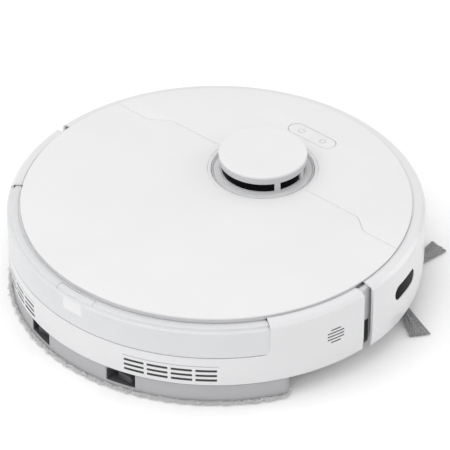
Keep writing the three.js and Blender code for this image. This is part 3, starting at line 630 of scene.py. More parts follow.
def wrapped_prism(name, outline, azimuth, r0, r1):
    """A prism whose outline, drawn as (arc length at the wall, height), is wrapped round the body."""
    turns = [(math.radians(azimuth) + s / BODY_R, z) for s, z in turned_anticlockwise(outline)]
    obj = bridged(name, *([(r * math.cos(a), r * math.sin(a), z) for a, z in turns] for r in (r0, r1)))
    bm = bmesh.new()
    bm.from_mesh(obj.data)
    bmesh.ops.triangulate(bm, faces=bm.faces)
    bmesh.ops.recalc_face_normals(bm, faces=bm.faces)
    bm.to_mesh(obj.data)
    bm.free()
    return obj


def vent_slots(side, shrink, r0, r1):
    """The exhaust slots of one side, three rows of four, as solids from r0 to r1."""
    columns, pitch, gap = 4, 20.1, 2.6
    slots = []
    for column in range(columns):
        s = (column - (columns - 1) / 2) * pitch
        for z in (25.5, 30.3, 35.1):
            slot = divided(stadium(pitch - gap - shrink, 2.4 - shrink, 0.5, s, z, 3), 3)
            slots.append(wrapped_prism("slot", slot, -90 + side * VENT_AZIMUTH, r0, r1))
    return slots


def grille_slots(shrink, r0, r1):
    """The speaker's five slots, as solids from r0 to r1."""
    slots = []
    for row, length in enumerate((10, 16.5, 16.5, 16.5, 10)):
        slot = divided(stadium(length - shrink, 1.5 - shrink, 0.6, 0, 49.6 + (row - 2) * 3.1, 3), 3)
        slots.append(wrapped_prism("grille", slot, SPEAKER_AZIMUTH, r0, r1))
    return slots


def rear_shell():
    outline = wall_outline(low=19.5, low_r=174.1, foot_r=167.2, ledge_r=163.2, ledge_z=LEDGE_Z)
    shell = swept("rear_shell_skin", outline, *SHELL_ENDS, 1.0)
    round_edges(shell, 0.45, 60, 2)
    cutters = vent_slots(1, 0, 170, 178) + vent_slots(-1, 0, 170, 178) + grille_slots(0, 170, 178)
    for side in (1, -1):
        line = divided(stadium(80.4, 0.8, 0.35, 0, 39.5, 3), 3)
        cutters.append(wrapped_prism("line", line, -90 + side * VENT_AZIMUTH, BODY_R - 0.7, 178))
    cut(shell, tank_opening(0))
    cut(shell, merged("wall_cutters", cutters))
    finished(shell, SHELL_WHITE, "chassis", "rear_side_shell", 28)
    # Dark plates just behind the exhaust slots and the speaker slots: painted shade inside the slots.
    for side, label in ((1, "right"), (-1, "left")):
        vent_shade = merged(f"{label}_vent_slot_shade", vent_slots(side, 0.06, 169.6, BODY_R - 0.45))
        finished(vent_shade, DARK, "chassis")
    finished(merged("speaker_slot_shade", grille_slots(0.06, 169.6, BODY_R - 0.6)), SOFT_DARK, "chassis")


def gap_panels():
    """What shows in the gaps between the rear shell and the bumper: an inner wall over a dark plate, with a
    dark strip at one edge; plate and strip are painted shade in the gap.
    """
    for side, label in ((1, "right"), (-1, "left")):
        middle = -3 if side > 0 else 183
        wall = swept(f"{label}_gap_wall", rounded([
            (166.2, 27.4, 0), (168.8, 27.4, 0.5), (168.8, 75.3, 1), (164.8, 75.5, 0), (164.8, 74.8, 0),
            (166.2, 74.8, 0)], 4), middle - 3, middle + 3)
        finished(wall, RING_GREY, "chassis")
        # Dark plate at the foot of the gap and dark strip at its edge: painted shade.
        face = divided(rectangle(166.2, 17.6, 167.0, 27.1))
        slot = swept(f"{label}_gap_slot_shade", face, middle - 3, middle + 3)
        finished(slot, DARK, "chassis")
        start = middle + 0.5 if side > 0 else middle - 1.9
        face = divided(rectangle(168.9, 27.4, 169.5, 42.6))
        strip = swept(f"{label}_gap_shade_strip", face, start, start + 1.4, 0.4)
        finished(strip, DARK, "chassis")


def bumper():
    outline = wall_outline(low=17, low_r=173.7, foot_r=171.3, ledge_r=163.4, ledge_z=LEDGE_Z + 0.75)
    skin = swept("bumper_skin", outline, *BUMPER_ENDS, 1.0)
    round_edges(skin, 0.5, 60, 3)
    windows = [(14.7, 36, 14.2), (90, 52, 15)]
    cutters = []
    for azimuth, length, height in windows:
        outline = divided(stadium(length, height, None, 0, WINDOW_Z, 12), 2)
        cutters.append(wrapped_prism("window_cut", outline, azimuth, 168, 180))
    cut(skin, merged("bumper_cutters", cutters))
    finished(skin, SHELL_WHITE, "bumper", "bumper", 28)
    for azimuth, length, height in windows:
        pane(azimuth, length - 0.5, height - 0.5)


def pane(azimuth, length, height):
    """A glossy window set just below the wall, with a rounded rim."""
    name = "edge_sensor_window" if azimuth < 45 else "dock_sensor_window"
    outline = divided(stadium(length, height, None, 0, WINDOW_Z, 14), 2)
    window = wrapped_prism(name + "_pane", outline, azimuth, BODY_R - 2.5, BODY_R - 0.35)
    face = divided(rectangle(170, 40, BODY_R - 0.35, 62), 3)
    band = swept("band", face, azimuth - 14, azimuth + 14, 1.0)
    keep(band, window)
    band.name = name + "_pane"
    round_edges(band, 0.35, 60, 2)
    finished(band, BLACK_WINDOW, "bumper", name, 28)


# ---- tank ----
def tank():
    outer = rounded([
        (0.5, TANK_LOW + 0.4, 0), (BODY_R, TANK_LOW + 0.4, 0.9), (BODY_R, 72.6, 0.9), (172.9, 73.3, 0.5),
        (171.4, 73.2, 0.6), (170.9, 75.3, 1.3), (165.8, 75.3, 1.0), (165.0, 74.7, 0.3), (161.5, 74.7, 0.1),
        (161.5, 73.6, 0.1), (0.5, 73.6, 0),
    ], 6, 3.2)
    body = swept("tank_skin", outer, -90 - TANK_HALF + 0.05, -90 + TANK_HALF - 0.05, 1.0)
    corners = tank_opening(-0.4)
    plan = block("plan", -146, 146, -152, TANK_FRONT, 40, 90)
    room = divided([(0.5, 50.4), (172.4, 50.4), (172.4, 70.8), (163, 71.4), (0.5, 71.4)], 3)
    inside = swept("inside", room, -90 - TANK_HALF + 1.4, -90 + TANK_HALF - 1.4, 1.5)
    keep(inside, block("inside_plan", -190, 190, -190, TANK_FRONT - 2, 40, 90))
    cut(inside, block("latch_room", -28, 28, -190, -60, 62, 90))
    keep(body, block("front_plane", -190, 190, -190, TANK_FRONT, 40, 90))
    shape = combine(corners, [plan], "UNION")
    keep(body, shape)
    cut(body, inside)
    cut(body, revolved("filler", rectangle(0, 60, 9.3, 90), (95, -112), 10))
    cut(body, latch_cutter(0.15, 68.6))
    round_edges(body, 0.35, 60, 2)
    finished(body, MILKY, "dust_tank", "tank_body", 28)


def latch_cutter(grow, low):
    half = 6.6 + math.degrees(grow / 170)
    outline = divided(rectangle(165.2 - grow, low, 172.2 + grow, 92), 3)
    return swept("latch_cutter", outline, -90 - half, -90 + half, 1.0)


def tank_latch():
    outline = rounded([
        (165.3, 71, 0.2), (172.1, 71, 0.2), (172.1, 73.4, 0.3), (171.4, 73.3, 0.5), (170.9, 75.2, 1.3),
        (165.9, 75.2, 1.1), (165.3, 74, 0.3),
    ], 5, 2)
    tab = swept("tank_latch_tab", outline, -96.5, -83.5, 0.8)
    round_edges(tab, 0.4, 60, 3)
    finished(tab, MILKY, "tank_latch", "tank_latch", 28)
    face = divided(rectangle(173.4, 61, BODY_R + 0.03, 72))
    housing = swept("latch_housing", face, -92.9, -86.4, 0.5)
    finished(housing, COVER_WHITE, "dust_tank")


# ---- top ----
def seam_points(shift):
    """The hairline between the two top covers, from left to right."""
    outer_y, inner_y = SEAM_OUTER_Y + shift, SEAM_INNER_Y + shift
    points = [(-200, outer_y)]
    steps = 14
    for start, y0, y1 in ((-124, outer_y, inner_y), (102, inner_y, outer_y)):
        for k in range(steps + 1):
            t = k / steps
            smooth = t * t * (3 - 2 * t)
            points.append((start + 22 * t, y0 + (y1 - y0) * smooth))
    points.append((200, outer_y))
    return points


def cover_region(radius, shift, front):
    """The part of a disc in front of the seam or behind it."""
    y = SEAM_OUTER_Y + shift
    x = math.sqrt(radius * radius - y * y)
    seam = [p for p in seam_points(shift) if math.hypot(*p) < radius]
    start = math.atan2(y, x)
    turn = math.pi - 2 * start
    if not front:
        turn -= 2 * math.pi
    count = 220
    arc = [start + turn * k / count for k in range(1, count)]
    return [(-x, y)] + seam + [(x, y)] + [(radius * math.cos(a), radius * math.sin(a)) for a in arc]


def top_covers():
    bezel_r = 46.9
    for front in (True, False):
        name = "top_cover_front" if front else "top_cover_rear"
        region = cover_region(COVER_R, 0.16 if front else -0.16, front)
        half = slab(name + "_skin", [region], COVER_TOP - 1.5, COVER_TOP, 0.28, 3)
        cutters = [revolved("lidar_hole", rectangle(0, 70, bezel_r, 90), LIDAR_CENTRE, 2)]
        if front:
            hole = stadium(PILL_LENGTH + 0.5, PILL_HEIGHT + 0.5, None, 0, PILL_Y, 16)
            cutters.append(slab("pill_hole", [hole], 70, 90))
        cut(half, *cutters)
        finished(half, COVER_WHITE, "chassis", name, 25)
    inner = rounded([
        (RING_R + 0.35, COVER_TOP - 1.6, 0.1), (bezel_r - 0.12, COVER_TOP - 1.6, 0.1),
        (bezel_r - 0.12, COVER_TOP, 0.3), (RING_R + 0.35, COVER_TOP - 0.1, 0.7),
    ], 4, 2)
    bezel = revolved("lidar_bezel", inner, LIDAR_CENTRE, 2)
    finished(bezel, COVER_WHITE, "chassis", sharp=30)
    # The ring under the cover's edge and the skirt over the tank are the white cover's edge, given pale grey
    # as painted shade.
    rims = []
    for low, start, end in ((COVER_EDGE_Z, -176, -4), (SHOULDER_Z + 0.4, -4, 184)):
        edge = divided(rectangle(COVER_R - 2.3, low, COVER_R - 0.12, COVER_TOP - 1.45))
        rims.append(swept("cover_rim", edge, start, end, 1.0))
    edge = divided(rectangle(COVER_R - 2.3, 75.2, COVER_R - 0.12, 77.6))
    skirt = swept("skirt", edge, -90 - TANK_HALF + 0.05, -90 + TANK_HALF - 0.05, 1.0)
    finished(merged("cover_rim_shade_ring", rims + [skirt]), PALE_GREY, "chassis")


def buttons():
    width, height = PILL_LENGTH, PILL_HEIGHT
    rim = slab("button_rim", [stadium(width, height, None, 0, PILL_Y, 16),
                              stadium(width - 1.1, height - 1.1, None, 0, PILL_Y, 16)],
               COVER_TOP - 2.2, COVER_TOP - 0.1, 0.2, 2)
    finished(rim, RIM_GREY, "chassis", "button_panel", 30)
    for side, label in ((-1, "power"), (1, "home")):
        pill = stadium(width - 1.3, height - 1.3, None, 0, 0, 16)
        edge = 0.03 * side
        half = [(x, y + PILL_Y) for x, y in pill if x * side > 0.1]
        half = [(edge, PILL_Y + (height - 1.3) / 2), (edge, PILL_Y - (height - 1.3) / 2)] + half
        ordered = sorted(half, key=lambda p: math.atan2(p[1] - PILL_Y, p[0] - side * 8))
        button = slab(label + "_button_key", [ordered], COVER_TOP - 2.2, COVER_TOP - 0.02, 0.03, 1)
        finished(button, COVER_WHITE, label + "_button", label + "_button", 30)
    symbols()


def ribbon(points, width):
    """The outline of a line of even width along a row of points."""
    pts = np.array(points, float)
    direction = np.gradient(pts, axis=0)
    direction /= np.linalg.norm(direction, axis=1, keepdims=True)
    normal = np.stack([-direction[:, 1], direction[:, 0]], 1) * width / 2
    left, right = pts + normal, pts - normal
    return [[tuple(p) for p in left] + [tuple(p) for p in right[::-1]]]


def symbols():
    """Generic power and home symbols, printed in thin grey lines."""
    z0, z1 = COVER_TOP - 0.03, COVER_TOP + 0.02
    x, y, r = -11.7, PILL_Y, 2.9
    arc = [math.radians(90 + 38 + (360 - 76) * k / 40) for k in range(41)]
    ring = ribbon([(x + r * math.cos(a), y + r * math.sin(a)) for a in arc], 0.55)
    bar = ribbon([(x, y + 0.4), (x, y + 2), (x, y + 3.9)], 0.55)
    power = merged("power_symbol", [slab("ring", ring, z0, z1), slab("bar", bar, z0, z1)])
    finished(power, ICON_GREY, "power_button")
    x = 12.0
    house = [(x - 2.3, y - 2.6), (x + 2.3, y - 2.6), (x + 2.3, y + 0.3), (x + 3.3, y + 0.3), (x, y + 3.3),
             (x - 3.3, y + 0.3), (x - 2.3, y + 0.3)]
    inner = [(x - 1.8, y - 2.1), (x + 1.8, y - 2.1), (x + 1.8, y + 0.8), (x + 2.1, y + 0.8), (x, y + 2.65),
             (x - 2.1, y + 0.8), (x - 1.8, y + 0.8)]
    home = slab("home_symbol", [house, inner], z0, z1)
    finished(home, ICON_GREY, "home_button")


def lidar_turret():
    ring = rounded([
        (30, 76.9, 0), (RING_R, 76.9, 0), (RING_R, 79.75, 0.25), (RING_R - 0.5, 79.75, 0.25),
        (RING_R - 1.7, 78.4, 1.2), (41.6, 78.2, 0.4), (40.9, 79.3, 0.5), (30, 79.5, 0),
    ], 5, 3)
    ring = revolved("lidar_ring_skin", ring, LIDAR_CENTRE, 2)
    finished(ring, RING_GREY, "chassis", "lidar_ring", 30)
    inner = 34.9
    base = fillet([(inner, 79.4, 0), (TURRET_R - 0.1, 79.4, 0.2), (TURRET_R - 0.1, 80.7, 0.3),
                   (inner, 80.7, 0)], 3)
    skirt = rounded([(inner, 88.9, 0), (TURRET_R - 0.25, 88.9, 0.4), (TURRET_R, 94.1, 0.2),
                     (inner, 94.1, 0)], 4, 2)
    pieces = [revolved("base", base, LIDAR_CENTRE, 2), revolved("skirt", skirt, LIDAR_CENTRE, 2)]
    upright = divided(rectangle(inner, 80, TURRET_R - 0.3, 89.4), 3)
    for azimuth in (-151, -29, 15, 61, 119, 165):
        post = swept("post", upright, azimuth - 4, azimuth + 4, 1, LIDAR_CENTRE)
        pieces.append(round_edges(post, 0.25, 60, 2))
    # The band, posts and base are white plastic shown grey: painted shade below the cap.
    finished(merged("turret_shell_skin", pieces), TURRET_SHADE_GREY, "chassis", "turret_shell", 30)
    cap = rounded([(0, 94.3, 0), (TURRET_R, 94.3, 0.2), (TURRET_R, TURRET_TOP, 0.9),
                   (0, TURRET_TOP, 0)], 8, 4)
    cap = revolved("turret_cap_skin", cap, LIDAR_CENTRE, 2)
    finished(cap, COVER_WHITE, "chassis", "turret_cap", 30)
    pane = divided(rectangle(33.4, 79.7, 34.7, 94.1), 3)
    window = revolved("turret_window_skin", pane, LIDAR_CENTRE, 2)
    finished(window, BLACK_WINDOW, "chassis", "turret_window", 30)


# ---- chassis and underside ----
def chassis_pan():
    profile = rounded([
        (0, 10, 0), (156, 10, 5), (CHASSIS_R, 17, 1.5), (CHASSIS_R, 73.5, 0.6), (160, 73.5, 0.3),
        (160, 77.2, 0.2), (157, 77.2, 0.2), (157, 70.5, 0.2), (163, 70.5, 0.2), (163, 19, 1), (155, 13, 0),
        (0, 13, 0),
    ], 4, 6)
    pan = revolved("chassis_pan", profile, step=2)
    holes = [stadium(30.5, 90, 3, WELL_X, -5, 4), stadium(30.5, 90, 3, -WELL_X, -5, 4),
             stadium(170, 48, 3, *CHAMBER_PLACE, 4), circle(26, *CASTER_PIVOT, 64),
             circle(7, SIDE_HUB.x, SIDE_HUB.y, 32), stadium(140.6, 60.6, 2, *BATTERY_PLACE, 4)]
    cutters = [slab("floor_hole", [hole], 0, 30) for hole in holes]
    for side in (1, -1):
        mouth = divided(rectangle(-42, 22, 42, 41), 4)
        cutters.append(wrapped_prism("vent_mouth", mouth, -90 + side * VENT_AZIMUTH, 155, 172))
    mouth = divided(stadium(24, 24, None, 0, 49.6, 8), 4)
    cutters.append(wrapped_prism("speaker_mouth", mouth, SPEAKER_AZIMUTH, 155, 172))
    mouth = divided(rectangle(150, 47.6, 180, 90), 6)
    cutters.append(swept("module_mouth", mouth, -150, -30, 2))
    cut(pan, merged("pan_cutters", cutters))
    round_edges(pan, 0.5, 60, 2)
    finished(pan, PALE_GREY, "chassis", "chassis", 28)


def liner(name, x, y, length, width, low, high):
    """The moulded walls and roof of a well in the chassis."""
    outline = stadium(length + 4, width + 4, 4, x, y, 4)
    walls = slab(name + "_walls", [outline, stadium(length, width, 3, x, y, 4)], low, high)
    roof = slab(name + "_roof", [outline], high, high + 2, 0.3)
    finished(merged(name, [walls, roof]), SOFT_DARK, "chassis", sharp=30)


def wells():
    liner("left_wheel_well", -WELL_X, -5, 30.5, 90, 13.1, 71.5)
    liner("right_wheel_well", WELL_X, -5, 30.5, 90, 13.1, 71.5)
    outline = stadium(174, 52, 4, *CHAMBER_PLACE, 4)
    walls = slab("chamber_walls", [outline, stadium(170, 48, 3, *CHAMBER_PLACE, 4)], 13.1, 50)
    roof = slab("chamber_roof", [outline, stadium(44, 22, 2, 0, 13, 4)], 50, 52, 0.3)
    finished(merged("brush_chamber", [walls, roof]), SOFT_DARK, "chassis", sharp=30)
    profile = fillet([(4.6, 36.2, 0), (26, 36.2, 1.5), (26, 13.1, 0), (28, 13.1, 0), (28, 38, 1.5),
                      (4.6, 38, 0)], 4)
    socket = revolved("caster_socket", profile, CASTER_PIVOT, 4)
    finished(socket, SOFT_DARK, "chassis", sharp=30)


def screw(name, x, y, z, body="chassis"):
    """A pan-head screw seen from below, with a cross recess."""
    profile = rounded([(0, z, 0), (2.3, z, 0.8), (2.9, z + 1.3, 0.1), (0, z + 1.3, 0)], 4, 2)
    head = revolved("head", profile, (x, y), 12)
    bars = [block("bar", x - 1.5, x + 1.5, y - 0.32, y + 0.32, z - 1, z + 0.75),
            block("bar", x - 0.32, x + 0.32, y - 1.5, y + 1.5, z - 1, z + 0.75)]
    cut(head, *bars)
    head.name = name
    finished(head, STEEL, body, sharp=30)


def underside_details():
    spots = [(-60, 100), (60, 100), (-140, 45), (141, 42), (-90, -60), (90, -60), (-30, 75), (30, 75)]
    profile = rounded([(3.2, 9.5, 0.3), (5.2, 9.5, 0.5), (5.6, 9.95, 0), (3.2, 9.95, 0)], 3, 2)
    for number, (x, y) in enumerate(spots):
        seat = revolved(f"screw_seat_{number + 1}", profile, (x, y), 8)
        finished(seat, PALE_GREY, "chassis", sharp=30)
        screw(f"screw_{number + 1}", x, y, 8.6)
    cover = slab("battery_cover_skin", [stadium(140, 60, 2, *BATTERY_PLACE, 5)], 10.0, 12.8, 0.4)
    grips = [slab("grip", [stadium(26, 1.6, 0.7, 0, -62 + 3 * k, 4)], 9.4, 10.6) for k in range(4)]
    cut(cover, *grips)
    finished(cover, PALE_GREY, "chassis", "battery_cover", 30)
    cliff_r = 147.0
    for number, azimuth in enumerate((55, 125, -15, 195)):
        a = math.radians(azimuth)
        window = slab(f"cliff_window_{number + 1}_pane", [stadium(15, 8, 3, 0, 0, 6)], 9.0, 9.7, 0.25)
        loops = [stadium(18.4, 11.4, 4.4, 0, 0, 6), stadium(15.4, 8.4, 3.1, 0, 0, 6)]
        frame_ring = slab(f"cliff_frame_{number + 1}", loops, 9.2, 9.95, 0.2)
        place = (a - math.pi / 2, "Z", cliff_r * math.cos(a), cliff_r * math.sin(a))
        finished(placed(window, *place), BLACK_WINDOW, "chassis", f"cliff_window_{number + 1}")
        finished(placed(frame_ring, *place), PALE_GREY, "chassis")
    for side, label in ((-1, "left"), (1, "right")):
        x, y = side * CONTACT_PLACE[0], CONTACT_PLACE[1]
        plate = slab(label + "_charge_plate", [stadium(24, 9, 3, x, y, 6)], 8.9, 9.7, 0.25)
        finished(plate, CONTACT, "chassis", label + "_charge_contact")
        loops = [stadium(27, 12, 4.5, x, y, 6), stadium(24.4, 9.4, 3.1, x, y, 6)]
        rim = slab(label + "_charge_rim", loops, 9.2, 9.95, 0.2)
        finished(rim, SOFT_DARK, "chassis")


def brush_guard():
    outline = stadium(180, 60, 8, *CHAMBER_PLACE, 6)
    mouth = stadium(162, 40, 4, *CHAMBER_PLACE, 5)
    guard = slab("brush_guard_skin", [outline, mouth], 7.6, 9.7, 0.5)
    ribs = [slab("rib", [stadium(150, 0.8, 0.3, 3, y, 3)], 7.0, 7.9) for y in (50.4, 48.6, -3.4)]
    cut(guard, *ribs)
    finished(guard, MID_GREY, "chassis", "brush_guard", 30)
    for side, label in ((-1, "left"), (1, "right")):
        outline = stadium(13, 9, 2.5, CHAMBER_PLACE[0] + side * 68, 49.2, 5)
        tab = slab(f"guard_latch_{label}", [outline], 7.1, 9.4, 0.6)
        finished(tab, SOFT_DARK, "chassis")
    outline = fillet([(-2.4, 7.3, 0.2), (-2.4, 6.1, 0.6), (-1, 5, 1), (-0.9, 0.3, 0.25), (0.9, 0.3, 0.25),
                      (1, 5, 1), (2.4, 6.1, 0.6), (2.4, 7.3, 0.2)], 3)
    lip = bridged("squeegee_skin", *([(x, y, z) for y, z in outline] for x in (-78, 84)))
    finished(lip, RUBBER, "chassis", "squeegee_lip")


def main_brush():
    x0, x1 = node_mm("main_brush_core")[0].x, node_mm("main_brush_core")[1].x
    profile = rounded([
        (0, x0, 0), (13, x0, 1.2), (13, x0 + 3, 0.6), (9, x0 + 3.6, 0.5), (9, x1 - 11.1, 0.5),
        (13, x1 - 10.5, 0.6), (13, x1 - 7.5, 1.2), (3.6, x1 - 7.5, 0.3), (3.6, x1, 0.5), (0, x1, 0)], 3, 6)
    core = onto_axle(revolved("main_brush_roller", profile, (0, 0), 8), 0, BRUSH_MID.y, BRUSH_MID.z)
    finished(core, SOFT_DARK, "main_brush", "main_brush_core", 30)
    start, end, slices = -75.0, 77.0, 60
    section = ((9.2, -0.12), (14, -0.05), (20.6, -0.03), (20.6, 0.03), (14, 0.05), (9.2, 0.12))
    blades = []
    for blade in range(0, 6, 2):
        verts, faces = [], []
        for s in range(slices + 1):
            share = s / slices
            turn = 1.1 * (1 - abs(2 * share - 1)) + blade * math.pi / 3
            x = start + (end - start) * share
            for r, offset in section:
                a = turn + offset
                verts.append((x, BRUSH_MID.y + r * math.cos(a), BRUSH_MID.z + r * math.sin(a)))
        for s in range(slices):
            for i in range(6):
                j = (i + 1) % 6
                faces.append((6 * s + i, 6 * s + j, 6 * s + 6 + j, 6 * s + 6 + i))
        faces += [tuple(range(5, -1, -1)), tuple(6 * slices + i for i in range(6))]
        blades.append(mesh_object("blade", verts, faces))
    fins = merged("main_brush_rubber_blades", blades)
    finished(fins, RUBBER, "main_brush", "main_brush_blades", 40)
    paths, tufts = [], 420
    for blade in range(1, 6, 2):
        for s in range(tufts):
            share = (s + 0.5) / tufts
            turn = 1.1 * (1 - abs(2 * share - 1)) + blade * math.pi / 3
            x = start + (end - start) * share
            for lean in (-0.05, 0.05):
                a = turn + lean + noise_source.normal(0, 0.02)
                tip = a + noise_source.normal(0, 0.03) - lean * 0.7
                shift = noise_source.normal(0, 0.3)
                paths.append([(x + shift * t, BRUSH_MID.y + r * math.cos(b), BRUSH_MID.z + r * math.sin(b))
                              for t, r, b in ((0, 8.8, a), (0.5, 15, (a + tip) / 2), (1, 20.8, tip))])
    rows = strands("main_brush_bristle_rows", paths, (0.16, 0.15, 0.12))
    finished(rows, BRUSH_BRISTLE, "main_brush", sharp=180)


def side_brush():
    x, y = SIDE_HUB.x, SIDE_HUB.y
    profile = rounded([
        (0, 3.4, 0), (3.2, 3.4, 0.3), (3.6, 3.0, 0.2), (8.6, 3.0, 1.0), (12, 5, 1.2), (12, 8, 0.8),
        (9, 9, 0.5), (6, 9, 0.3), (6, 12.6, 0.3), (0, 12.6, 0)], 4, 3)
    hub = revolved("side_brush_disc", profile, (x, y), 5)
    sockets = []
    for a in np.radians(TUFT_AZIMUTHS):
        arm = slab("socket", [stadium(9, 7.6, 2.2, 10.5, 0, 5)], 3.5, 7.7, 0.5)
        sockets.append(placed(arm, a, "Z", x, y))
    finished(merged("side_brush_boss", [hub] + sockets), MID_GREY, "side_brush", "side_brush_hub", 30)
    screw("side_brush_screw", x, y, 2.2, "side_brush")
    for k, a in enumerate(np.radians(TUFT_AZIMUTHS)):
        paths = []
        for _ in range(230):
            spread = noise_source.uniform(-1, 1)
            layer = noise_source.uniform(-1, 1)
            tip_cut = TUFT_LENGTH - 0.9 + 1.5 * spread + noise_source.normal(0, 0.3)
            points = []
            for t in np.linspace(0, 1, 7):
                along = 9 + (tip_cut - 9) * t
                across = spread * (1.9 + 7.0 * t ** 1.6)
                height = 5.4 - 4.1 * t ** 1.15 + layer * (1.25 - 0.6 * t)
                points.append((x + along * math.cos(a) - across * math.sin(a),
                               y + along * math.sin(a) + across * math.cos(a), height))
            paths.append(points)
        tuft = strands(f"side_brush_bristles_{k + 1}", paths, np.linspace(0.24, 0.17, 7))
        finished(tuft, BRISTLE_DARK, "side_brush", f"side_brush_tuft_{k + 1}", 180)


# ---- wheels ----
def drive_wheel(side):
    label = "left" if side < 0 else "right"
    x, z = side * WHEEL_X, WHEEL_R
    profile = rounded([
        (4.3, -9, 0.3), (9, -9, 0.6), (9.4, -6, 0.4), (24, -6, 1), (24.6, -9, 0.3), (27, -9, 0.4),
        (27, 9, 0.4), (23.4, 9, 0.6), (20, 7, 1.5), (10, 7, 1.5), (8, 9, 0.8), (4.3, 9, 0.3)], 3, 3)
    hub = revolved("hub", profile, step=6)
    holes = [slab("hole", [circle(3.1, px, py, 24)], -20, 20) for px, py in circle(15, count=6)]
    cut(hub, *holes)
    if side < 0:
        hub.data.transform(Matrix.Scale(-1, 4, (0, 0, 1)))
        hub.data.flip_normals()
    hub.name = label + "_wheel_rim"
    finished(onto_axle(hub, x, 0, z), MID_GREY, label + "_wheel", label + "_wheel_hub", 30)
    profile = rounded([(27.3, -9.8, 0.4), (32.2, -9.8, 1.2), (32.6, 0, 12), (32.2, 9.8, 1.2),
                       (27.3, 9.8, 0.4)], 4, 3)
    band = revolved("band", profile)
    lugs = []
    count = 24
    for number in range(count):
        for half, offset in ((-1, 0.0), (1, 0.5)):
            a0 = 2 * math.pi * (number + offset) / count
            outline = []
            for lead, steps in ((0.045, (0, 1, 2, 3, 4)), (-0.065, (4, 3, 2, 1, 0))):
                outline += [(a0 + lead + 0.03 * k, half * (0.7 + 2.15 * k)) for k in steps]
            rings = []
            for r, squeeze in ((31.6, 1.0), (34.95, 0.94)):
                turns = [(a0 + 0.05 + (a - a0 - 0.05) * squeeze, h * squeeze) for a, h in outline]
                rings.append([(r * math.cos(b), r * math.sin(b), h + half * 0.25) for b, h in turns])
            lugs.append(bridged("lug", *rings))
    tyre = merged(label + "_tyre_tread", [band] + lugs)
    round_edges(tyre, 0.3, 60, 1)
    finished(onto_axle(tyre, x, 0, z), RUBBER, label + "_wheel", label + "_tyre", 35)


def caster():
    x, y, z = CASTER_MID
    profile = rounded([
        (2.3, -8.8, 0.3), (8.6, -8.8, 1), (12, -5.6, 2), (12, 5.6, 2), (8.6, 8.8, 1), (2.3, 8.8, 0.3)], 4, 2)
    wheel = revolved("caster_roller", profile, step=6)
    finished(onto_axle(wheel, x, y, z), RUBBER, "caster_wheel", "caster_wheel", 30)
    profile = rounded([
        (0, 27, 0), (22, 27, 0.8), (22, 30, 0.6), (4, 30, 0.3), (4, 37.4, 0.4), (0, 37.4, 0)], 3, 4)
    disc = revolved("disc", profile, CASTER_PIVOT, 5)
    outline = fillet([(y - 5, 7, 3.5), (y + 6, 7, 3.5), (y + 9, 28, 0), (y - 8, 28, 0)], 6)
    legs = []
    for side in (-1, 1):
        low = side * 11.1 - 1.5
        legs.append(bridged("leg", *([(px, py, pz) for py, pz in outline] for px in (low, low + 3))))
    profile = fillet([(0, -12.4, 0), (2, -12.4, 0.4), (2, 12.4, 0.4), (0, 12.4, 0)], 3)
    axle = onto_axle(revolved("axle", profile, step=12), x, y, z)
    fork = merged("caster_yoke", [disc] + legs + [axle])
    round_edges(fork, 0.4, 60, 2)
    finished(fork, MID_GREY, "caster_fork", "caster_fork", 30)


# ---- mop ----
def mop_outline(radius, half, front, corner):
    y_side = -math.sqrt(radius * radius - half * half)
    start = math.atan2(y_side, half)
    arc = [start - (math.pi + 2 * start) * k / 150 for k in range(151)]
    outline = [(radius * math.cos(a), radius * math.sin(a)) for a in arc]
    corners = fillet([(-half, y_side - 1, 0), (-half, front, corner), (half, front, corner),
                      (half, y_side - 1, 0)], 8)
    return outline + corners[1:-1]


def mop_tray():
    outer = rounded([
        (0.5, 3.4, 0), (MOP_R - 1.7, 3.4, 0.1), (MOP_R - 1.7, 1.3, 0.2), (MOP_R, 1.3, 0.6),
        (MOP_R, 18.6, 0.6), (166.8, 18.6, 0.3), (166.8, 16.4, 0.2), (156, 9.5, 0.3), (0.5, 9.5, 0)], 4, 3)
    tray = swept("mop_tray_shell", outer, -153.5, -26.5, 1.0)
    prism = slab("tray_plan", [mop_outline(178, 150.5, -72, 10)], 0, 25)
    keep(tray, prism)
    notches = []
    for side in (-1, 1):
        low, high = sorted(side * x for x in CLIP_ROOM)
        notches.append(block("notch", low, high, -180, -143.2, 5.0, 30))
    cut(tray, *notches)
    round_edges(tray, 0.4, 60, 2)
    finished(tray, MID_GREY, "mop_tray", "mop_tray", 28)
    for side, label in ((-1, "left"), (1, "right")):
        low, high = sorted(side * x for x in CLIP_ROOM)
        # Dark plates at the back, floor and sides of the clip pocket: painted shade inside the pocket.
        back = block(label + "_pocket_back_shade", low + 0.1, high - 0.1, -143.6, -143.25, 5.1, 16)
        finished(back, DARK, "mop_tray")
        mouth = []
        for k in range(9):
            x = low + 0.02 + (high - low - 0.04) * k / 8
            mouth.append((x, -math.sqrt((MOP_R - 0.8) ** 2 - x * x)))
        plates = [slab("floor", [mouth + [(high - 0.02, -143.7), (low + 0.02, -143.7)]], 5.01, 5.3)]
        for x, y in (mouth[0], mouth[-1]):
            shift = 0.33 if x < (low + high) / 2 else -0.33
            x0, x1 = sorted((x, x + shift))
            plates.append(block("cheek", x0, x1, y + 0.3, -143.7, 5.32, 15))
        shade_plates = merged(label + "_pocket_shade_plates", plates)
        finished(shade_plates, SOFT_DARK, "mop_tray")
        low, high = sorted(side * x for x in CLIP_SPAN)
        tongue = block("tongue", low, high, -160.5, -150.8, 5.7, 10.4)
        lip = block("lip", low + 1, high - 1, -161.4, -158.4, 5.7, 12.3)
        clip = merged(label + "_clip_tongue", [tongue, lip])
        round_edges(clip, 0.5, 40, 2)
        finished(clip, SOFT_DARK, label + "_mop_clip", label + "_mop_clip", 30)


